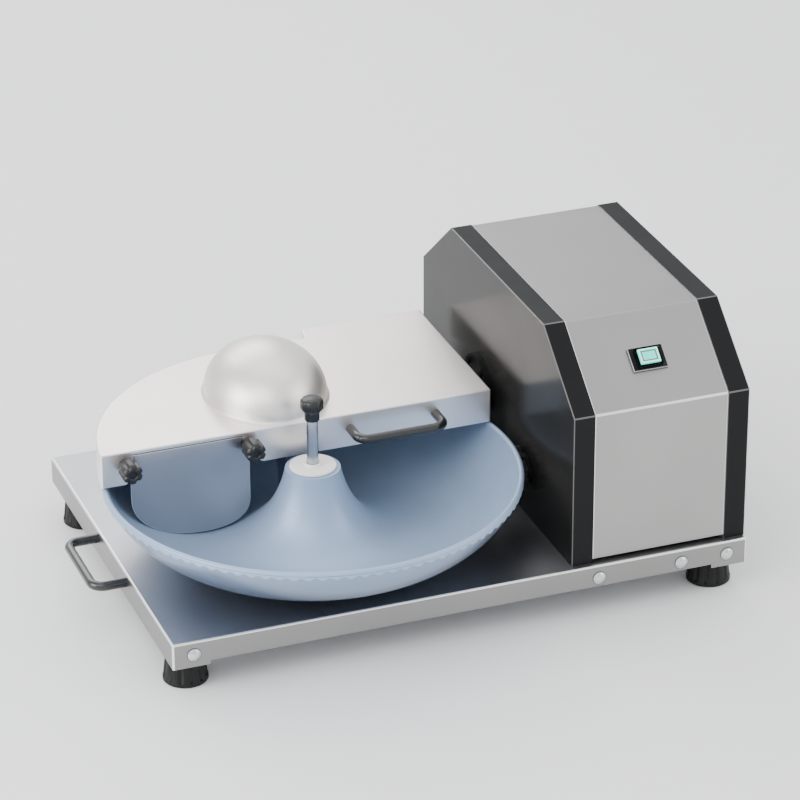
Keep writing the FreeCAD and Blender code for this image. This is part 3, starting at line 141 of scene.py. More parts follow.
def turned_satin(name, light, dark, rough, metal, centre):
    # Spun and turned metal under a dull blasted skin: faint rings round the bowl's axis. The skin
    # scatters part of the light, so that dark surroundings don't turn it black. Ring spacing is
    # drawn near 3 mm where the real one is about 0.3 mm.
    material, tree, here = begin(name)
    middle = add(tree, "ShaderNodeMapping", {"Vector": here, "Location": [-c for c in centre]})
    split = add(tree, "ShaderNodeSeparateXYZ", {"Vector": middle.outputs["Vector"]})
    across = add(tree, "ShaderNodeCombineXYZ", {"X": split.outputs["X"], "Y": split.outputs["Y"]})
    radius = add(tree, "ShaderNodeVectorMath", {"Vector": across.outputs["Vector"]}, operation="LENGTH")
    rings = add(tree, "ShaderNodeCombineXYZ", {"X": radius.outputs["Value"], "Y": split.outputs["Z"]})
    lines = add(tree, "ShaderNodeTexNoise", {"Vector": rings.outputs["Vector"], "Scale": per_metre(3.0),
                                             "Detail": 3.0})
    clouds = add(tree, "ShaderNodeTexNoise", {"Vector": here, "Scale": per_metre(90.0), "Detail": 2.0})
    tone = add(tree, "ShaderNodeMix", {"Factor": clouds.outputs["Fac"], "A": linear(dark), "B": linear(light)},
               data_type="RGBA")
    roughness = add(tree, "ShaderNodeMapRange", {"Value": lines.outputs["Fac"], "From Min": 0.3, "From Max": 0.7,
                                                 "To Min": rough - 0.05, "To Max": rough + 0.07})
    bump = add(tree, "ShaderNodeBump", {"Height": lines.outputs["Fac"], "Strength": 0.02, "Distance": 0.0005})
    shader = add(tree, "ShaderNodeBsdfPrincipled", {"Base Color": tone.outputs["Result"], "Metallic": metal,
                                                    "Roughness": roughness.outputs["Result"],
                                                    "Normal": bump.outputs["Normal"]})
    finish_with(tree, shader)
    return material


def moulded(name, light, dark, rough, grain_mm, depth, ior=1.5, coat=0.0):
    # A coloured, non-metal skin with a fine grain: powder coat, moulded plastic or rubber. The
    # grain breaks the highlight and a slow change of tone stands for handling and dust.
    material, tree, here = begin(name)
    grain = add(tree, "ShaderNodeTexNoise", {"Vector": here, "Scale": per_metre(grain_mm), "Detail": 4.0})
    clouds = add(tree, "ShaderNodeTexNoise", {"Vector": here, "Scale": per_metre(60.0), "Detail": 2.0})
    tone = add(tree, "ShaderNodeMix", {"Factor": clouds.outputs["Fac"], "A": linear(dark), "B": linear(light)},
               data_type="RGBA")
    roughness = add(tree, "ShaderNodeMapRange", {"Value": clouds.outputs["Fac"], "From Min": 0.3, "From Max": 0.7,
                                                 "To Min": rough - 0.04, "To Max": rough + 0.04})
    bump = add(tree, "ShaderNodeBump", {"Height": grain.outputs["Fac"], "Strength": depth, "Distance": 0.0003})
    shader = add(tree, "ShaderNodeBsdfPrincipled", {"Base Color": tone.outputs["Result"], "Metallic": 0.0,
                                                    "Roughness": roughness.outputs["Result"], "IOR": ior,
                                                    "Coat Weight": coat, "Coat Roughness": 0.15,
                                                    "Normal": bump.outputs["Normal"]})
    finish_with(tree, shader)
    return material


def lit_lens(name, light, dark):
    # Acrylic lens of the lit switch: a glossy skin over an even glow.
    material, tree, here = begin(name)
    glow = add(tree, "ShaderNodeTexNoise", {"Vector": here, "Scale": per_metre(9.0), "Detail": 1.0})
    tone = add(tree, "ShaderNodeMix", {"Factor": glow.outputs["Fac"], "A": linear(dark), "B": linear(light)},
               data_type="RGBA")
    shader = add(tree, "ShaderNodeBsdfPrincipled", {"Base Color": tone.outputs["Result"], "Roughness": 0.12,
                                                    "IOR": 1.49, "Emission Color": tone.outputs["Result"],
                                                    "Emission Strength": 0.3})
    finish_with(tree, shader)
    return material


bowl_centre = CORNER + Vector((BOWL_X, BOWL_Y, 0)) * MM
LID_STEEL = brushed_stainless("stainless_304_brushed_lid", 0xF6F0EC, 0xE8E1DD, 0.38, 0)
COVER_STEEL = brushed_stainless("stainless_304_brushed_cover", 0xA8A7A5, 0x9C9B99, 0.36, 0)
# The tray sheet comes in two copies of its steel: the flanges are painted darker as painted shade, the deck lighter
SHADED_TRAY_STEEL = brushed_stainless("stainless_304_brushed_tray_painted_shade", 0x979694, 0x8A8987, 0.36, 0)
LIT_DECK_STEEL = brushed_stainless("stainless_304_brushed_deck_lit", 0xB4B6BA, 0xA6A8AD, 0.38, 0)
# Painted highlight: a near-white copy of the brushed steel for the folds, side strips and cut edges of the sheets,
# painting the bright lines of light along them
FOLD_HIGHLIGHT_STEEL = brushed_stainless("stainless_304_fold_painted_highlight", 0xF8F6F4, 0xF2F0EE, 0.30, 0)
PLATE_STEEL = brushed_stainless("stainless_304_satin_plate", 0xB3B2B6, 0xA4A3A8, 0.34, 2)
BOWL_STEEL = turned_satin("stainless_spun_satin_bowl", 0x9AAFC9, 0x8FA4C0, 0.44, 0.32, bowl_centre)
BOWL_OUTSIDE = turned_satin("stainless_spun_bright_bowl", 0x94A5BD, 0x8798B1, 0.30, 0.80, bowl_centre)
GROUND_STEEL = brushed_stainless("steel_ground_shaft", 0xB9BBBE, 0xA2A5AA, 0.24, 2)
BLADE_STEEL = brushed_stainless("stainless_martensitic_blade", 0xD0D3D6, 0xBABEC3, 0.2, 1)
BRIGHT_SCREW = moulded("stainless_a2_bright_screw", 0xDADAD8, 0xCCCCCA, 0.28, 1.5, 0.04)
ZINC = moulded("steel_zinc_plated", 0xC4C2BE, 0xB2B0AC, 0.34, 1.5, 0.08)
BLACK_PAINT = moulded("steel_powder_coated_black", 0x141415, 0x0F0F10, 0.48, 1.2, 0.08, ior=1.25)
GLOSS_PAINT = moulded("steel_enamelled_black", 0x262524, 0x1F1F1E, 0.22, 1.6, 0.01, ior=1.2)
# Painted highlight: a grey copy of the black enamel for the cheeks' rounded folds, standing for the light caught along
# them
FOLD_HIGHLIGHT_PAINT = moulded("steel_enamelled_black_fold_painted_highlight", 0x5C5C59, 0x50504E, 0.30, 1.6, 0.02)
HANDLE_PAINT = moulded("steel_coated_black_gloss", 0x1C1C1D, 0x161617, 0.24, 1.2, 0.04, coat=0.4)
BLACK_PLASTIC = moulded("phenolic_moulded_black", 0x171717, 0x101010, 0.36, 1.0, 0.08)
RUBBER = moulded("rubber_moulded_black", 0x111111, 0x0B0B0B, 0.46, 1.4, 0.08, ior=1.35)
WHITE_PLASTIC = moulded("acetal_turned_white", 0xF2F2EF, 0xE9E9E6, 0.4, 1.2, 0.05)
BRONZE = moulded("bronze_sintered", 0xB08A55, 0x9C7846, 0.4, 1.0, 0.10)
ENAMEL = moulded("cast_aluminium_enamelled", 0x59636B, 0x4C555D, 0.42, 1.6, 0.14)
GLOSS_PLASTIC = moulded("polycarbonate_gloss_black", 0x0A0A0A, 0x060606, 0.22, 1.0, 0.01, ior=1.28)
# Painted highlight: a grey copy of the black polycarbonate for the switch frame's rounded edges
EDGE_HIGHLIGHT_PLASTIC = moulded("polycarbonate_edge_painted_highlight", 0x9C9C9C, 0x8C8C8C, 0.2, 1.0, 0.01)
DOME_STEEL = brushed_stainless("stainless_304_polished_dome", 0xF0ECE8, 0xE6E1DC, 0.42, 0)
LENS = lit_lens("acrylic_lens_lit", 0x62F0DA, 0x4CE6CE)
# Painted light on the lens: a near-white glowing copy paints the highlight round its rim, and a darker copy paints the
# shade in its groove
LENS_RIM_HIGHLIGHT = lit_lens("acrylic_lens_rim_painted_highlight", 0xE8FFFA, 0xDCFFF6)
LENS_GROOVE_SHADE = lit_lens("acrylic_lens_groove_painted_shade", 0x2E8E80, 0x267F72)

# Zinc plating and bronze are metals
for metal in (ZINC, BRONZE, BRIGHT_SCREW):
    metal.node_tree.nodes["Principled BSDF"].inputs["Metallic"].default_value = 1.0


# Modelling helpers

def placed(bm, name, body, slot_name, material, *nodes, smooth=35.0):
    """Turns a millimetre mesh into a finished piece that stands for the named CAD nodes.

    The material may be a tuple, in the order of the faces' material numbers.
    """
    bmesh.ops.scale(bm, vec=(MM, MM, MM), verts=bm.verts)
    bmesh.ops.translate(bm, vec=CORNER, verts=bm.verts)
    mesh = bpy.data.meshes.new(name)
    bm.to_mesh(mesh)
    bm.free()
    for one in material if isinstance(material, tuple) else (material,):
        mesh.materials.append(one)
    piece = bpy.data.objects.new(name, mesh)
    bpy.context.scene.collection.objects.link(piece)
    mesh.shade_smooth()
    if smooth < 180:
        mesh.set_sharp_from_angle(angle=math.radians(smooth))
    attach(piece, body)
    if nodes:
        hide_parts(*nodes)
    return piece


def tidy_skin(bm, distance=0.01):
    bmesh.ops.remove_doubles(bm, verts=bm.verts, dist=distance)
    bmesh.ops.recalc_face_normals(bm, faces=bm.faces)


def lathe(bm, profile, centre, axis, steps, corner=0.0, rounds=3):
    """Spins a profile of (radius, height) points about an axis, with its corners rounded."""
    axis = Vector(axis)
    across = axis.orthogonal().normalized()
    line = bmesh.new()
    verts = [line.verts.new(across * r + axis * h) for r, h in profile]
    for a, b in zip(verts, verts[1:]):
        line.edges.new((a, b))
    if corner:
        bmesh.ops.bevel(line, geom=verts[1:-1], offset=corner, offset_type="OFFSET", segments=rounds,
                        profile=0.5, affect="VERTICES", material=-1, clamp_overlap=True)
    bmesh.ops.spin(line, geom=line.verts[:] + line.edges[:], cent=(0, 0, 0), axis=axis,
                   angle=2 * math.pi, steps=steps, use_merge=True)
    bmesh.ops.translate(line, vec=centre, verts=line.verts)
    tidy_skin(line)
    pour(bm, line)


def pour(bm, other):
    """Adds one bmesh to another and frees it."""
    mesh = bpy.data.meshes.new("pour")
    other.to_mesh(mesh)
    other.free()
    bm.from_mesh(mesh)
    bpy.data.meshes.remove(mesh)


def bezier(a, b, c, d, count):
    """Points (radius, height) along one curve with handles b and c."""
    points = interpolate_bezier(*[Vector((p[0], p[1], 0)) for p in (a, b, c, d)], count)
    return [(p.x, p.y) for p in points]


def shifted(points, distance):
    """A line of (radius, height) points moved sideways by a distance."""
    line = [Vector(p) for p in points]
    ways = [(b - a).normalized() for a, b in zip(line, line[1:])]
    out = []
    for i, p in enumerate(line):
        before, after = ways[max(i - 1, 0)], ways[min(i, len(ways) - 1)]
        side = Vector((before.y + after.y, -before.x - after.x)).normalized()
        reach = distance / side.dot(Vector((after.y, -after.x)))
        out.append((p.x + side.x * reach, p.y + side.y * reach))
    return out


def solid_from(outline, direction):
    """A closed prism: a face through the outline points, pushed along a direction."""
    bm = bmesh.new()
    face = bm.faces.new([bm.verts.new(p) for p in outline])
    side = bmesh.ops.extrude_face_region(bm, geom=[face])
    moved = [v for v in side["geom"] if isinstance(v, bmesh.types.BMVert)]
    bmesh.ops.translate(bm, vec=direction, verts=moved)
    bmesh.ops.recalc_face_normals(bm, faces=bm.faces)
    return bm


def soften(bm, width, segments=3, angle=30.0, only=None, material=-1):
    """Rounds the edges that are sharper than an angle."""
    sharp = [e for e in bm.edges if e.is_manifold and e.calc_face_angle(0.0) > math.radians(angle)
             and (only is None or only(e))]
    bmesh.ops.bevel(bm, geom=sharp, offset=width, offset_type="OFFSET", segments=segments, profile=0.5,
                    affect="EDGES", material=material, clamp_overlap=True)


# Bowl, toothed ring, collar and clamp

CONE_TOP = COLLAR[0].z
CONE_R = 32.0
TROUGH_R, TROUGH_Z = 119.0, 14.5
WALL = 3.5
HUB_R = 24.0


def make_bowl():
    trough = (TROUGH_R, TROUGH_Z)
    rim_in = (RIM_R - 2 * BEAD, RIM_Z - BEAD)
    flank = bezier((CONE_R, CONE_TOP), (CONE_R + 13.6, CONE_TOP - 68), (TROUGH_R - 31.2, TROUGH_Z), trough, 28)
    wall = bezier(trough, (TROUGH_R + 56.2, TROUGH_Z), (rim_in[0] - 5.4, rim_in[1] - 35.8), rim_in, 28)
    inside = flank + wall[1:]
    outside = shifted(inside, WALL)
    crest = RIM_R - BEAD
    turn = [math.radians(180 - 15 * i) for i in range(1, 13)]
    roll = [(crest + BEAD * math.cos(a), RIM_Z - BEAD + BEAD * math.sin(a)) for a in turn]
    lip = [(RIM_R - 0.1, RIM_Z - 3.7), (RIM_R - 1.4, RING[1].z), (outside[-1][0], RING[1].z)]
    profile = [(HUB_R, CONE_TOP - 5), (HUB_R, CONE_TOP)] + inside + roll + lip + outside[::-1]
    profile += [(outside[0][0], CONE_TOP - 5), (HUB_R, CONE_TOP - 5)]
    bm = bmesh.new()
    lathe(bm, profile, (BOWL_X, BOWL_Y, 0), (0, 0, 1), 192)
    # The outside keeps the brighter spun skin, which mirrors the tray
    for face in bm.faces:
        middle = face.calc_center_median()
        if middle.z < RING[1].z and face.normal.z < 0.0:
            face.material_index = 1
    return placed(bm, "spun_bowl", "bowl_turn", "bowl_metal", (BOWL_STEEL, BOWL_OUTSIDE), "bowl")


TEETH = 96
TOOTH_ROOT = RING[1].z - 1.6


def make_crown_ring():
    # The ring's lower edge is pushed down into rounded teeth, eight points to a tooth.
    per_tooth = 8
    top = RING[1].z
    inner = RIM_R - 3.2
    low = TOOTH_ROOT - 0.1
    drop = low - RING[0].z
    profile = [(inner, top), (RIM_R - 1.4, top), (RIM_R - 0.5, top - 0.3), (RIM_R, TOOTH_ROOT + 0.3),
               (RIM_R, TOOTH_ROOT + 0.1), (RIM_R - 0.4, low), (inner + 0.4, low), (inner, TOOTH_ROOT + 0.1), (inner, top)]
    bm = bmesh.new()
    lathe(bm, profile, (0, 0, 0), (0, 0, 1), TEETH * per_tooth)
    contact = math.asin((PINION[0].y + PINION[1].y) / 2 / RIM_R - BOWL_Y / RIM_R)
    for v in bm.verts:
        if v.co.z < TOOTH_ROOT + 0.2:
            phase = (math.atan2(v.co.y, v.co.x) - contact) * TEETH
            tooth = 0.5 - 0.5 * math.cos(phase)
            v.co.z -= drop * tooth
            v.co.x *= 1 - 0.002 * tooth
            v.co.y *= 1 - 0.002 * tooth
    bmesh.ops.translate(bm, vec=(BOWL_X, BOWL_Y, 0), verts=bm.verts)
    return placed(bm, "rolled_crown_ring", "bowl_turn", "bowl_metal", BOWL_STEEL, "crown_ring", smooth=50)


def make_collar():
    radius = (COLLAR[1].x - COLLAR[0].x) / 2
    rod_r = (ROD[1].x - ROD[0].x) / 2
    height = 3.0
    bore, boss = rod_r + 0.3, rod_r + 3.5
    bm = bmesh.new()
    lathe(bm, [(bore, 0.2), (bore, height), (radius, height), (radius, 0.2), (bore, 0.2)],
          (BOWL_X, BOWL_Y, CONE_TOP), (0, 0, 1), 72, corner=0.8)
    # The boss is split on the right, so that it can grip the rod
    split = math.radians(12)
    line = bmesh.new()
    start = Quaternion((0, 0, 1), split)
    corners = [(bore, height - 0.5), (bore, height + 3), (boss, height + 3), (boss, height - 0.5)]
    face = line.faces.new([line.verts.new(start @ Vector((r, 0, z))) for r, z in corners])
    bmesh.ops.spin(line, geom=line.verts[:] + line.edges[:] + [face], cent=(0, 0, 0), axis=(0, 0, 1),
                   angle=2 * math.pi - 2 * split, steps=48)
    bmesh.ops.recalc_face_normals(line, faces=line.faces)
    soften(line, 0.5, 2, 50)
    bmesh.ops.translate(line, vec=(BOWL_X, BOWL_Y, CONE_TOP), verts=line.verts)
    pour(bm, line)
    return placed(bm, "split_boss_collar", "bowl_turn", "white_plastic", WHITE_PLASTIC, "bowl_collar")


def make_clamp():
    rod_r = (ROD[1].x - ROD[0].x) / 2
    bm = bmesh.new()
    lathe(bm, [(0, ROD[0].z), (rod_r, ROD[0].z), (rod_r, ROD[1].z), (0, ROD[1].z)], (BOWL_X, BOWL_Y, 0), (0, 0, 1), 48,
          corner=0.6)
    placed(bm, "clamp_rod_ground", "clamp", "machined_steel", GROUND_STEEL, "clamp_rod")
    low, high = CLAMP[0].z, CLAMP[1].z
    radius = (CLAMP[1].x - CLAMP[0].x) / 2
    neck = 8.7
    waist = low + 0.45 * (high - low)
    profile = [(rod_r - 0.2, low + 0.1), (neck - 0.8, low + 0.1), (neck, low + 1.2), (neck, waist - 3.5),
               (neck + 0.6, waist - 1.6), (radius - 2.6, waist), (radius, waist + 3.2), (radius, high - 4.0),
               (radius - 1.0, high - 1.6), (radius - 3.2, high - 0.4), (0, high)]
    head = bmesh.new()
    lathe(head, profile, (0, 0, 0), (0, 0, 1), 96)
    flute(head, 8, 0.8, lambda v: v.co.z > waist - 1 and v.co.xy.length > radius - 3)
    bmesh.ops.translate(head, vec=(BOWL_X, BOWL_Y, 0), verts=head.verts)
    return placed(head, "clamp_knob_moulded", "clamp", "black_plastic", BLACK_PLASTIC, "clamp_knob", smooth=45)


def flute(bm, count, depth, chosen):
    """Presses round flutes into the side of a knob that stands on the z axis."""
    for v in bm.verts:
        if chosen(v):
            turn = math.atan2(v.co.y, v.co.x) * count
            dip = depth * max(0.0, math.cos(turn)) ** 0.8
            keep = 1 - dip / v.co.xy.length
            v.co.x *= keep
            v.co.y *= keep


# Lid, dome, baffle plate and their knobs

LID_TOP, LID_BOTTOM = LID[1].z, LID[0].z
LID_SHEET = 1.5
CUT_LEFT, CUT_RIGHT, CUT_TOP = 23.0, 156.0, LID_TOP - 4.5


def ring_of(bm, points):
    """Closed ring of edges through the points."""
    verts = [bm.verts.new(p) for p in points]
    return [bm.edges.new((a, b)) for a, b in zip(verts, verts[1:] + verts[:1])]


def make_lid():
    front, back, right = LID[0].y, LID[1].y, LID[1].x
    centre, radius = Vector((BOWL_X - 13.2, BOWL_Y + 25.0)), RIM_R - 15.5
    step_x, notch_x = 303.8, 307.8
    first = math.pi - math.asin((front - centre.y) / radius)
    steps = 40
    arc = [first + (math.pi / 2 - first) * i / steps for i in range(steps + 1)]
    outline = [Vector((centre.x + radius * math.cos(a), centre.y + radius * math.sin(a), LID_TOP)) for a in arc]
    outline += [Vector((step_x, centre.y + radius, LID_TOP)), Vector((notch_x, back, LID_TOP)),
                Vector((right, back, LID_TOP)), Vector((right, front, LID_TOP))]
    dome_mid = (DOME[0] + DOME[1]) / 2
    reach = (DOME[1] - DOME[0]) / 2
    shrink = 4.0
    mouth = [Vector((dome_mid.x + (reach.x - shrink) * math.cos(a), dome_mid.y + (reach.y - shrink) * math.sin(a),
                     LID_TOP)) for a in [2 * math.pi * i / 64 for i in range(64)]]
    bm = bmesh.new()
    rim = ring_of(bm, outline)
    hole = ring_of(bm, mouth)
    bmesh.ops.triangle_fill(bm, use_beauty=True, use_dissolve=False, edges=rim + hole, normal=(0, 0, 1))
    # The skirt is folded down from the rim, except at the right and the front, which are cut out
    plain = [e for e in rim if not all(v.co.y < front + 1 for v in e.verts)
             and not all(v.co.x > right - 1 for v in e.verts)]
    skirt = bmesh.ops.extrude_edge_only(bm, edges=plain)
    moved = [v for v in skirt["geom"] if isinstance(v, bmesh.types.BMVert)]
    bmesh.ops.translate(bm, vec=(0, 0, LID_BOTTOM - LID_TOP), verts=moved)
    left = outline[0].x
    flank = CUT_TOP - 26
    cut = [(left, LID_TOP), (right, LID_TOP), (right, LID_BOTTOM), (CUT_RIGHT + 23, LID_BOTTOM), (CUT_RIGHT, flank),
           (CUT_RIGHT, CUT_TOP), (CUT_LEFT, CUT_TOP), (CUT_LEFT, flank), (CUT_LEFT - 9, LID_BOTTOM), (left, LID_BOTTOM)]
    bm.faces.new([bm.verts.new((x, front, z)) for x, z in cut])
    shaft_y, shaft_z, room = dome_mid.y, LID_BOTTOM + 12, 12.5
    arch = [math.radians(15 * i) for i in range(13)]
    side = [(front, LID_TOP), (front, LID_BOTTOM), (shaft_y - room, LID_BOTTOM)]
    side += [(shaft_y - room * math.cos(a), shaft_z + room * math.sin(a)) for a in arch]
    side += [(shaft_y + room, LID_BOTTOM), (back, LID_BOTTOM), (back, LID_TOP)]
    bm.faces.new([bm.verts.new((right, y, z)) for y, z in side])
    bmesh.ops.remove_doubles(bm, verts=bm.verts, dist=0.01)
    bmesh.ops.recalc_face_normals(bm, faces=bm.faces)
    # The rounded folds take material 1, the painted highlight
    folds = [e for e in bm.edges if e.is_manifold and e.calc_face_angle(0.0) > math.radians(60)]
    bmesh.ops.bevel(bm, geom=folds, offset=1.8, offset_type="OFFSET", segments=3, profile=0.5, affect="EDGES",
                    material=1, clamp_overlap=True)
    lid = placed(bm, "folded_lid", "lid", "lid_steel", (LID_STEEL, FOLD_HIGHLIGHT_STEEL), "lid_shell", smooth=40)
    thicken(lid, LID_SHEET)
    return lid


def thicken(piece, wall, edge=0.25):
    """Gives a folded sheet its wall, inwards, and breaks its cut edges."""
    solid = piece.modifiers.new("wall", "SOLIDIFY")
    solid.thickness = wall * MM
    solid.offset = -1.0
    solid.use_even_offset = True
    solid.use_quality_normals = True
    if len(piece.data.materials) > 1:
        # The cut edges of the sheet take the next material along, mostly the painted highlight of its folds
        solid.material_offset_rim = 1
    broken = piece.modifiers.new("edges", "BEVEL")
    broken.width = edge * MM
    broken.segments = 1
    broken.limit_method = "ANGLE"
    broken.angle_limit = math.radians(60)
    weighted = piece.modifiers.new("flats", "WEIGHTED_NORMAL")
    weighted.keep_sharp = True


def make_dome():
    # A pressed dome that flares out into the lid over a few millimetres.
    middle = (DOME[0] + DOME[1]) / 2
    reach = (DOME[1] - DOME[0]) / 2
    height = DOME[1].z - LID_TOP
    flare = 0.035
    turns = [math.radians(4 + 2.15 * i) for i in range(41)]
    profile = [(1.0, 0.0), (1.0 - 0.4 * flare, 0.006), (1.0 - 0.8 * flare, 0.022), (1.0 - flare, 0.045)]
    profile += [((1.0 - flare * (1 - t / (math.pi / 2)) ** 2) * math.cos(t), math.sin(t)) for t in turns[:-1]]
    profile += [(0.0, 1.0)]
    bm = bmesh.new()
    lathe(bm, [(r * 100, h * 100) for r, h in profile], (0, 0, 0), (0, 0, 1), 128)
    bmesh.ops.scale(bm, vec=(reach.x / 100, reach.y / 100, height / 100), verts=bm.verts)
    bmesh.ops.translate(bm, vec=(middle.x, middle.y, LID_TOP), verts=bm.verts)
    dome = placed(bm, "pressed_dome", "lid", "lid_steel", DOME_STEEL, "lid_dome", smooth=180)
    wall = dome.modifiers.new("wall", "SOLIDIFY")
    wall.thickness = LID_SHEET * MM
    wall.offset = -1.0
    return dome


def make_baffle():
    left, right = 19.5, 163.0
    low, top = PLATE[0].z, PLATE[1].z
    y = PLATE[0].y
    left_z, right_z = LID_BOTTOM - 22, LID_BOTTOM - 45
    mid = left + 0.62 * (right - left)
    left_curve = bezier((left, left_z), (left, left_z - 32), (mid - 55, low), (mid, low), 16)
    right_curve = bezier((mid, low), (mid + 34, low), (right, right_z - 22), (right, right_z), 12)
    outline = left_curve + right_curve[1:]
    outline += [(right, LID_BOTTOM + 3), (right + 9, LID_BOTTOM + 12), (right + 9, top), (left - 14, top),
                (left - 14, LID_BOTTOM + 12), (left, LID_BOTTOM + 3)]
    bm = solid_from([(x, y, z) for x, z in outline], (0, PLATE[1].y - y, 0))
    # The rounded edges take the painted highlight material, which draws a bright line round the plate
    soften(bm, 0.6, 2, 50, lambda e: abs((e.verts[0].co - e.verts[1].co).normalized().y) < 0.5, material=1)
    return placed(bm, "ground_baffle_plate", "lid", "stainless", (PLATE_STEEL, FOLD_HIGHLIGHT_STEEL), "baffle_plate", smooth=30)


def make_plate_knob(name, node, body):
    low, high = box_mm(node)
    middle = (low + high) / 2
    radius = (high.x - low.x) / 2
    length = LID[0].y - low.y
    profile = [(0, 0.2), (radius - 3.5, 0.2), (radius - 3.2, 4.4), (radius - 1.2, 6.2), (radius, 8.6),
               (radius + 0.0, length - 5.0), (radius - 0.6, length - 2.6), (radius - 2.2, length - 0.6),
               (radius - 3.6, length), (5.2, length), (4.2, length - 0.6), (3.6, length - 2.6), (0, length - 3.0)]
    bm = bmesh.new()
    lathe(bm, profile, (0, 0, 0), (0, 0, 1), 96)
    flute(bm, 6, 2.2, lambda v: v.co.z > 5 and v.co.xy.length > radius - 4)
    bmesh.ops.rotate(bm, cent=(0, 0, 0), matrix=Matrix.Rotation(math.radians(90), 3, "X"), verts=bm.verts)
    bmesh.ops.translate(bm, vec=(middle.x, LID[0].y, middle.z), verts=bm.verts)
    stud = bmesh.new()
    lathe(stud, [(0, -12), (3, -12), (3, 6), (0, 6)], (0, 0, 0), (0, 0, 1), 24, corner=0.4)
    bmesh.ops.rotate(stud, cent=(0, 0, 0), matrix=Matrix.Rotation(math.radians(90), 3, "X"), verts=stud.verts)
    bmesh.ops.translate(stud, vec=(middle.x, LID[0].y, middle.z), verts=stud.verts)
    pour(bm, stud)
    return placed(bm, name, body, "black_plastic", BLACK_PLASTIC, node, smooth=45)


# Handles: one round black rod each, bent at both ends

def ring_edges(verts):
    """The edges that join these verts."""
    inside = set(verts)
    return list({e for v in verts for e in v.link_edges if inside.issuperset(e.verts)})


def push(bar, verts, way):
    """Runs a ring of verts straight on."""
    made = bmesh.ops.extrude_edge_only(bar, edges=ring_edges(verts))
    moved = [v for v in made["geom"] if isinstance(v, bmesh.types.BMVert)]
    bmesh.ops.translate(bar, vec=way, verts=moved)
    return moved


def swing(bar, verts, pivot, axis, degrees):
    """Runs a ring of verts round a bend."""
    made = bmesh.ops.spin(bar, geom=verts + ring_edges(verts), cent=pivot, axis=axis, angle=math.radians(degrees),
                          steps=10)
    return [v for v in made["geom_last"] if isinstance(v, bmesh.types.BMVert)]


def make_handle(name, node, body, along, out_of):
    radius, bend = 5.6, 14.0
    low, high = box_mm(node)
    along, out_of = Vector(along), Vector(out_of)
    size = high - low
    span = size.dot(along) - 2 * radius
    reach = abs(size.dot(out_of))
    leg = reach - radius - bend
    base = (low + high - along * span - out_of * reach) / 2
    bar = bmesh.new()
    turn = out_of.to_track_quat("Z", "Y").to_matrix().to_4x4()
    bmesh.ops.create_circle(bar, segments=32, radius=radius, matrix=Matrix.Translation(base) @ turn)
    ring = push(bar, bar.verts[:], out_of * leg)
    corner = base + out_of * leg + along * bend
    axis = out_of.cross(along)
    ring = swing(bar, ring, corner, axis, 90)
    ring = push(bar, ring, along * (span - 2 * bend))
    ring = swing(bar, ring, corner + along * (span - 2 * bend), axis, 90)
    push(bar, ring, out_of * -leg)
    bmesh.ops.holes_fill(bar, edges=bar.edges[:], sides=64)
    tidy_skin(bar)
    return placed(bar, name, body, "black_paint", HANDLE_PAINT, node, smooth=50)


# Motor housing

SLOPE_Z, SLOPE_RUN = 189.0, 94.0
REAR_TOP = 391.5
HOUSING_FRONT, HOUSING_BACK, HOUSING_TOP = CHEEK[0].y, CHEEK[1].y, CHEEK[1].z


def housing_side():
    """Side view of the housing as (y, z): upright front, slope, flat top, rear slope, upright back."""
    return [(HOUSING_FRONT, 0.0), (HOUSING_FRONT, SLOPE_Z), (HOUSING_FRONT + SLOPE_RUN, HOUSING_TOP),
            (REAR_TOP, HOUSING_TOP), (HOUSING_BACK, SLOPE_Z), (HOUSING_BACK, 0.0)]


def make_cheek(name, node, outer_is_low):
    low, high = box_mm(node)
    outer, inner = (low.x, high.x) if outer_is_low else (high.x, low.x)
    bm = bmesh.new()
    face = bm.faces.new([bm.verts.new((outer, y, z)) for y, z in housing_side()])
    made = bmesh.ops.extrude_edge_only(bm, edges=face.edges[:])
    moved = [v for v in made["geom"] if isinstance(v, bmesh.types.BMVert)]
    bmesh.ops.translate(bm, vec=(inner - outer, 0, 0), verts=moved)
    bmesh.ops.recalc_face_normals(bm, faces=bm.faces)
    if face.normal.x * (outer - inner) < 0:
        bmesh.ops.reverse_faces(bm, faces=bm.faces)
    for band in bm.faces:
        band.material_index = 0 if band is face else 1
    # The rounded folds of the cheek take material 2, the grey painted highlight
    folds = [e for e in bm.edges if e.is_manifold and e.calc_face_angle(0.0) > math.radians(20)
             and max(v.co.z for v in e.verts) > 1]
    bmesh.ops.bevel(bm, geom=folds, offset=1.1, offset_type="OFFSET", segments=3, profile=0.5, affect="EDGES",
                    material=2, clamp_overlap=True)
    cheek = placed(bm, name, "base", "black_paint", (GLOSS_PAINT, BLACK_PAINT, FOLD_HIGHLIGHT_PAINT), node, smooth=50)
    thicken(cheek, 3.0, 0.4)
    return cheek


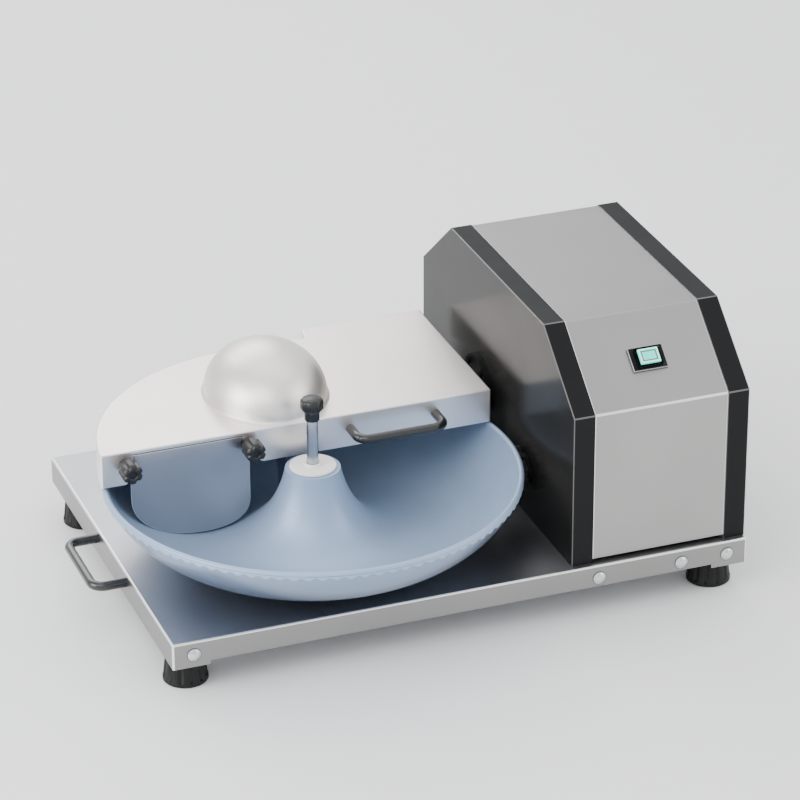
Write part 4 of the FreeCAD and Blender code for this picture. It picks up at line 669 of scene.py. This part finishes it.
def make_wrap_cover():
    inset = HOUSING_TOP - COVER[1].z
    line = shifted(housing_side(), inset)
    outline = [(line[1][0], COVER[0].z)] + line[1:3] + [(COVER[1].y, line[2][1])]
    bm = bmesh.new()
    verts = [bm.verts.new((COVER[0].x, y, z)) for y, z in outline]
    edges = [bm.edges.new((a, b)) for a, b in zip(verts, verts[1:])]
    # Both side edges are strips of painted highlight, which draw a bright line along each cheek
    highlight_strip = 1.3
    for width in (highlight_strip, COVER[1].x - COVER[0].x - 2 * highlight_strip, highlight_strip):
        made = bmesh.ops.extrude_edge_only(bm, edges=edges)
        moved = [v for v in made["geom"] if isinstance(v, bmesh.types.BMVert)]
        bmesh.ops.translate(bm, vec=(width, 0, 0), verts=moved)
        edges = [e for e in made["geom"] if isinstance(e, bmesh.types.BMEdge)
                 and all(v in moved for v in e.verts)]
        for strip in made["geom"]:
            if isinstance(strip, bmesh.types.BMFace):
                strip.material_index = 1 if width == highlight_strip else 0
    bmesh.ops.recalc_face_normals(bm, faces=bm.faces)
    bm.faces.ensure_lookup_table()
    if bm.faces[0].normal.y > 0:
        bmesh.ops.reverse_faces(bm, faces=bm.faces)
    folds = [e for e in bm.edges if e.is_manifold and e.calc_face_angle(0.0) > math.radians(20)]
    middle = (HOUSING_TOP + SLOPE_Z) / 2
    # The lower folds are rounded in the painted highlight material; the top folds keep the plain steel
    for chosen, material in (([e for e in folds if e.verts[0].co.z > middle], -1),
                             ([e for e in folds if e.verts[0].co.z < middle], 1)):
        bmesh.ops.bevel(bm, geom=chosen, offset=1.6, offset_type="OFFSET", segments=4, profile=0.5,
                        affect="EDGES", material=material, clamp_overlap=True)
    cover = placed(bm, "folded_wrap_cover", "base", "stainless", (COVER_STEEL, FOLD_HIGHLIGHT_STEEL), "wrap_cover", smooth=50)
    thicken(cover, 1.5)
    return cover


def make_switch():
    length = math.hypot(SLOPE_RUN, HOUSING_TOP - SLOPE_Z)
    up = Vector((0, SLOPE_RUN / length, (HOUSING_TOP - SLOPE_Z) / length))
    out_of = Vector((0, -up.z, up.y))
    inset = HOUSING_TOP - COVER[1].z
    middle = Vector(((BEZEL[0].x + BEZEL[1].x) / 2, HOUSING_FRONT, SLOPE_Z)) + up * 59.0 - out_of * inset
    stand = Matrix.Translation(middle) @ Matrix((Vector((1, 0, 0)), up, out_of)).transposed().to_4x4()
    frame_w, frame_h, frame_t = 43.0, 30.0, 3.0
    wall_w, wall_h, rise, wall = 30.0, 24.0, 8.0, 2.4
    bm = bmesh.new()
    block(bm, frame_w, frame_h, 0.0, frame_t)
    # The frame's rounded edges take material 1, the grey painted highlight
    soften(bm, 0.9, 3, material=1)
    ring = bmesh.new()
    block(ring, wall_w, wall_h, 0.5, rise)
    top = max(ring.faces, key=lambda f: f.calc_center_median().z)
    bmesh.ops.inset_region(ring, faces=[top], thickness=wall, use_even_offset=True)
    bmesh.ops.translate(ring, vec=(0, 0, -6.0), verts=top.verts[:])
    soften(ring, 0.5, 2, 50)
    pour(bm, ring)
    bmesh.ops.transform(bm, matrix=stand, verts=bm.verts)
    placed(bm, "switch_frame", "base", "black_plastic", (GLOSS_PLASTIC, EDGE_HIGHLIGHT_PLASTIC), "switch_bezel", smooth=40)
    lens = bmesh.new()
    # The lens stands off the frame by its travel, so that a full press stops short of it
    slack, travel = 0.3, 3.0
    block(lens, wall_w - 2 * (wall + slack), wall_h - 2 * (wall + slack), frame_t + travel + slack, rise + 1.5)
    top = max(lens.faces, key=lambda f: f.calc_center_median().z)
    soften(lens, 0.6, 3, 30, lambda e: min(v.co.z for v in e.verts) > rise or abs(e.verts[0].co.z - e.verts[1].co.z) > 1)
    top = max(lens.faces, key=lambda f: (round(f.calc_center_median().z, 3), f.calc_area()))
    # The outer band of the top takes the painted highlight (material 1) and the sunk groove inside it the painted shade
    # (material 2)
    for number, (thickness, depth) in enumerate(((1.9, 0.0), (1.9, -0.3))):
        frame_faces = bmesh.ops.inset_region(lens, faces=[top], thickness=thickness, depth=depth, use_even_offset=True)
        for face in frame_faces["faces"]:
            face.material_index = number + 1
    bmesh.ops.transform(lens, matrix=stand, verts=lens.verts)
    return placed(lens, "switch_lens", "button", "lens", (LENS, LENS_RIM_HIGHLIGHT, LENS_GROOVE_SHADE), "power_button", smooth=40)


def block(bm, width, height, low, high):
    """A block centred on the z axis between two heights."""
    made = bmesh.ops.create_cube(bm, size=1.0)
    bmesh.ops.scale(bm, vec=(width, height, high - low), verts=made["verts"])
    bmesh.ops.translate(bm, vec=(0, 0, (low + high) / 2), verts=made["verts"])


# Tray, its screws and the feet

def make_tray():
    length, depth = TRAY[1].x, TRAY[1].y
    # Side flanges of one depth; the front and back ones are shallower between two deeper corner tabs
    flange, side_flange, tab = 27.0, -TRAY[0].z, 44.0
    bm = bmesh.new()
    corners = [Vector(p) for p in ((0, 0, 0), (length, 0, 0), (length, depth, 0), (0, depth, 0))]
    # The deck takes the lighter copy (material 2); the flanges keep the darker painted shade copy (material 0)
    bm.faces.new([bm.verts.new(p) for p in corners]).material_index = 2
    for number, (a, b) in enumerate(zip(corners, corners[1:] + corners[:1])):
        way = (b - a).normalized()
        line = [(a, 0), (a, side_flange), (b, side_flange), (b, 0)]
        if number % 2 == 0:
            line[2:2] = [(a + way * tab, side_flange), (a + way * tab, flange),
                         (b - way * tab, flange), (b - way * tab, side_flange)]
        bm.faces.new([bm.verts.new(p - Vector((0, 0, drop))) for p, drop in line])
    tidy_skin(bm)
    # Every fold is rounded in the painted highlight material, which draws the bright lines along the tray's edges
    folds = [e for e in bm.edges if e.is_manifold]
    bmesh.ops.bevel(bm, geom=folds, offset=2.2, offset_type="OFFSET", segments=4, profile=0.5, affect="EDGES",
                    material=1, clamp_overlap=True)
    tray = placed(bm, "folded_tray", "base", "stainless", (SHADED_TRAY_STEEL, FOLD_HIGHLIGHT_STEEL, LIT_DECK_STEEL), "base_tray", smooth=50)
    thicken(tray, 2.0)
    return tray


def make_tray_screws():
    low, high = box_mm("tray_screws")
    head_r, head_h, z = 7.6, 3.6, (low.z + high.z) / 2 - 1.5
    length = TRAY[1].x
    ball = (head_r ** 2 + head_h ** 2) / (2 * head_h)
    half = math.asin(head_r / ball)
    arc = [half * (1 - i / 10) for i in range(11)]
    profile = [(0, -6), (3.9, -6), (3.9, 0.2), (head_r - 0.3, 0.4), (head_r, 0.8)]
    profile += [(ball * math.sin(a), 0.4 + head_h - ball + ball * math.cos(a)) for a in arc[1:]]
    # A dark ring under each head, a little wider than it, paints the shadow line round the head's edge
    shade_ring_profile = [(4.0, 0), (head_r + 0.9, 0), (head_r + 0.9, 0.5), (4.0, 0.5), (4.0, 0)]
    bm = bmesh.new()
    for x in (25.0, length - 186, length - 83, length - 25):
        shade_ring = bmesh.new()
        lathe(shade_ring, shade_ring_profile, (x, 0, z), (0, -1, 0), 40)
        for face in shade_ring.faces:
            face.material_index = 1
        pour(bm, shade_ring)
        lathe(bm, profile, (x, 0, z), (0, -1, 0), 40)
    return placed(bm, "dome_head_screws", "base", "zinc", (BRIGHT_SCREW, ENAMEL), "tray_screws", smooth=50)


def make_feet():
    low, high = box_mm("rubber_feet")
    base_r, top_r, height, flutes = 26.0, 22.0, high.z - low.z, 12
    inset_x, inset_y = low.x + base_r, low.y + base_r
    profile = [(4.2, 8), (9, 8), (9, 0), (base_r - 1.5, 0), (base_r, 1.4), (base_r, 5.0), (base_r - 0.8, 6.4),
               (top_r, height - 6), (top_r + 1.5, height - 4), (top_r + 1.5, height - 0.6),
               (top_r + 0.6, height), (4.2, height), (4.2, 8)]
    bm = bmesh.new()
    for x in (inset_x, TRAY[1].x - inset_x):
        for y in (inset_y, TRAY[1].y - inset_y):
            foot = bmesh.new()
            lathe(foot, profile, (0, 0, 0), (0, 0, 1), flutes * 8)
            flute(foot, flutes, 1.9, lambda v: 5.5 < v.co.z < height - 5 and v.co.xy.length > top_r - 1)
            bmesh.ops.translate(foot, vec=(x, y, low.z), verts=foot.verts)
            pour(bm, foot)
    return placed(bm, "fluted_feet", "base", "rubber", RUBBER, "rubber_feet", smooth=45)


# Camera, floor and light

def make_camera():
    azimuth, elevation, roll = [math.radians(a) for a in (-20.5014, 26.5722, -0.2277)]
    focal_px, frame_px, sensor = 3868.68, 800, 36.0
    target = CORNER + Vector((393.236, 329.217, 80.0)) * MM
    back = Vector((math.sin(azimuth) * math.cos(elevation), -math.cos(azimuth) * math.cos(elevation),
                   math.sin(elevation)))
    camera = bpy.data.objects.new("camera", bpy.data.cameras.new("camera"))
    camera.data.sensor_width = sensor
    camera.data.lens = focal_px * sensor / frame_px
    camera.data.clip_end = 100.0
    camera.location = target + back * 4641.03 * MM
    camera.rotation_mode = "QUATERNION"
    camera.rotation_quaternion = back.to_track_quat("Z", "Y") @ Quaternion((0, 0, 1), roll)
    bpy.context.scene.collection.objects.link(camera)
    bpy.context.scene.camera = camera


def make_floor():
    bm = bmesh.new()
    bmesh.ops.create_grid(bm, x_segments=1, y_segments=1, size=30.0)
    mesh = bpy.data.meshes.new("floor")
    bm.to_mesh(mesh)
    bm.free()
    floor = bpy.data.objects.new("floor", mesh)
    bpy.context.scene.collection.objects.link(floor)
    mesh.materials.append(moulded("floor_pale_matt", 0xF4F4F4, 0xF1F1F1, 0.9, 4.0, 0.0))


def make_light(name, place, target, size, power):
    data = bpy.data.lights.new(name, "AREA")
    data.shape = "RECTANGLE"
    data.size, data.size_y = size
    data.energy = power
    light = bpy.data.objects.new(name, data)
    light.location = place
    light.rotation_euler = (Vector(target) - Vector(place)).to_track_quat("-Z", "Y").to_euler()
    bpy.context.scene.collection.objects.link(light)


def make_world():
    world = bpy.data.worlds.new("studio")
    bpy.context.scene.world = world
    world.use_nodes = True
    sky = world.node_tree.nodes["Background"]
    sky.inputs["Color"].default_value = linear(0xF0F2F5)
    sky.inputs["Strength"].default_value = 1.5


make_camera()
make_floor()
make_world()
make_light("key", (-1.6, -1.6, 2.4), (0, 0, 0.1), (1.8, 1.8), 28)
make_light("back", (-0.2, 2.4, 1.9), (0, 0, 0.1), (2.2, 1.2), 34)
make_light("left", (-2.6, -0.3, 1.2), (0, 0, 0.1), (1.6, 1.6), 58)
make_light("fill", (2.2, -1.4, 1.6), (0.1, 0, 0.1), (1.6, 1.6), 21)
make_light("top", (0.2, 0.6, 2.6), (0, 0, 0.1), (2.4, 1.6), 12)

make_bowl()
make_crown_ring()
make_collar()
make_clamp()
make_lid()
make_dome()
make_baffle()
make_plate_knob("left_fluted_knob", "left_plate_knob", "left_knob")
make_plate_knob("right_fluted_knob", "right_plate_knob", "right_knob")
make_handle("lid_bent_handle", "lid_handle", "lid", (1, 0, 0), (0, -1, 0))
make_handle("side_bent_handle", "carry_handle", "base", (0, 1, 0), (-1, 0, 0))
make_cheek("left_cheek_pan", "left_cheek", True)
make_cheek("right_cheek_pan", "right_cheek", False)
make_wrap_cover()
make_switch()
make_tray()
make_tray_screws()
make_feet()

FINISHES = (
    (SHADED_TRAY_STEEL, ("base_tray",)),
    (COVER_STEEL, ("wrap_cover", "rear_cover", "louvre_hoods", "hinge_bracket")),
    (LID_STEEL, ("lid_shell", "lid_dome", "hinge_lugs")),
    (PLATE_STEEL, ("baffle_plate",)),
    (BOWL_STEEL, ("crown_ring", "bowl_hub")),
    (GROUND_STEEL, ("clamp_rod", "spindle_post", "thrust_washer", "pinion_shaft", "hinge_pin", "knife_shaft",
                    "knife_bearings", "knife_spacers", "knife_nut", "motor_rotor")),
    (BLADE_STEEL, ("knives",)),
    (BRIGHT_SCREW, ("tray_screws",)),
    (ZINC, ("foot_spacers", "foot_bolts", "carry_handle_screws", "cover_screws", "post_bolts",
            "gear_bolts", "lid_handle_screws", "knob_nuts", "bracket_bolts", "motor_bolts",
            "gear_bracket", "motor_plate")),
    (HANDLE_PAINT, ("carry_handle", "lid_handle")),
    (BLACK_PAINT, ("left_cheek", "right_cheek", "pinion_flange", "knife_housing", "knife_flange_screws")),
    (BLACK_PLASTIC, ("drive_pinion", "clamp_knob", "left_plate_knob", "right_plate_knob", "cable_inlet", "switch_bezel",
                     "start_capacitor")),
    (RUBBER, ("rubber_feet", "drive_belt", "shaft_seal")),
    (WHITE_PLASTIC, ("bowl_collar",)),
    (BRONZE, ("bowl_bushes",)),
    (ENAMEL, ("gear_motor", "drive_motor", "knife_pulley", "motor_pulley")),
    (LENS, ("power_button",)),
)
for material, names in FINISHES:
    for name in names:
        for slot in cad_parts[name].material_slots:
            slot.material = material
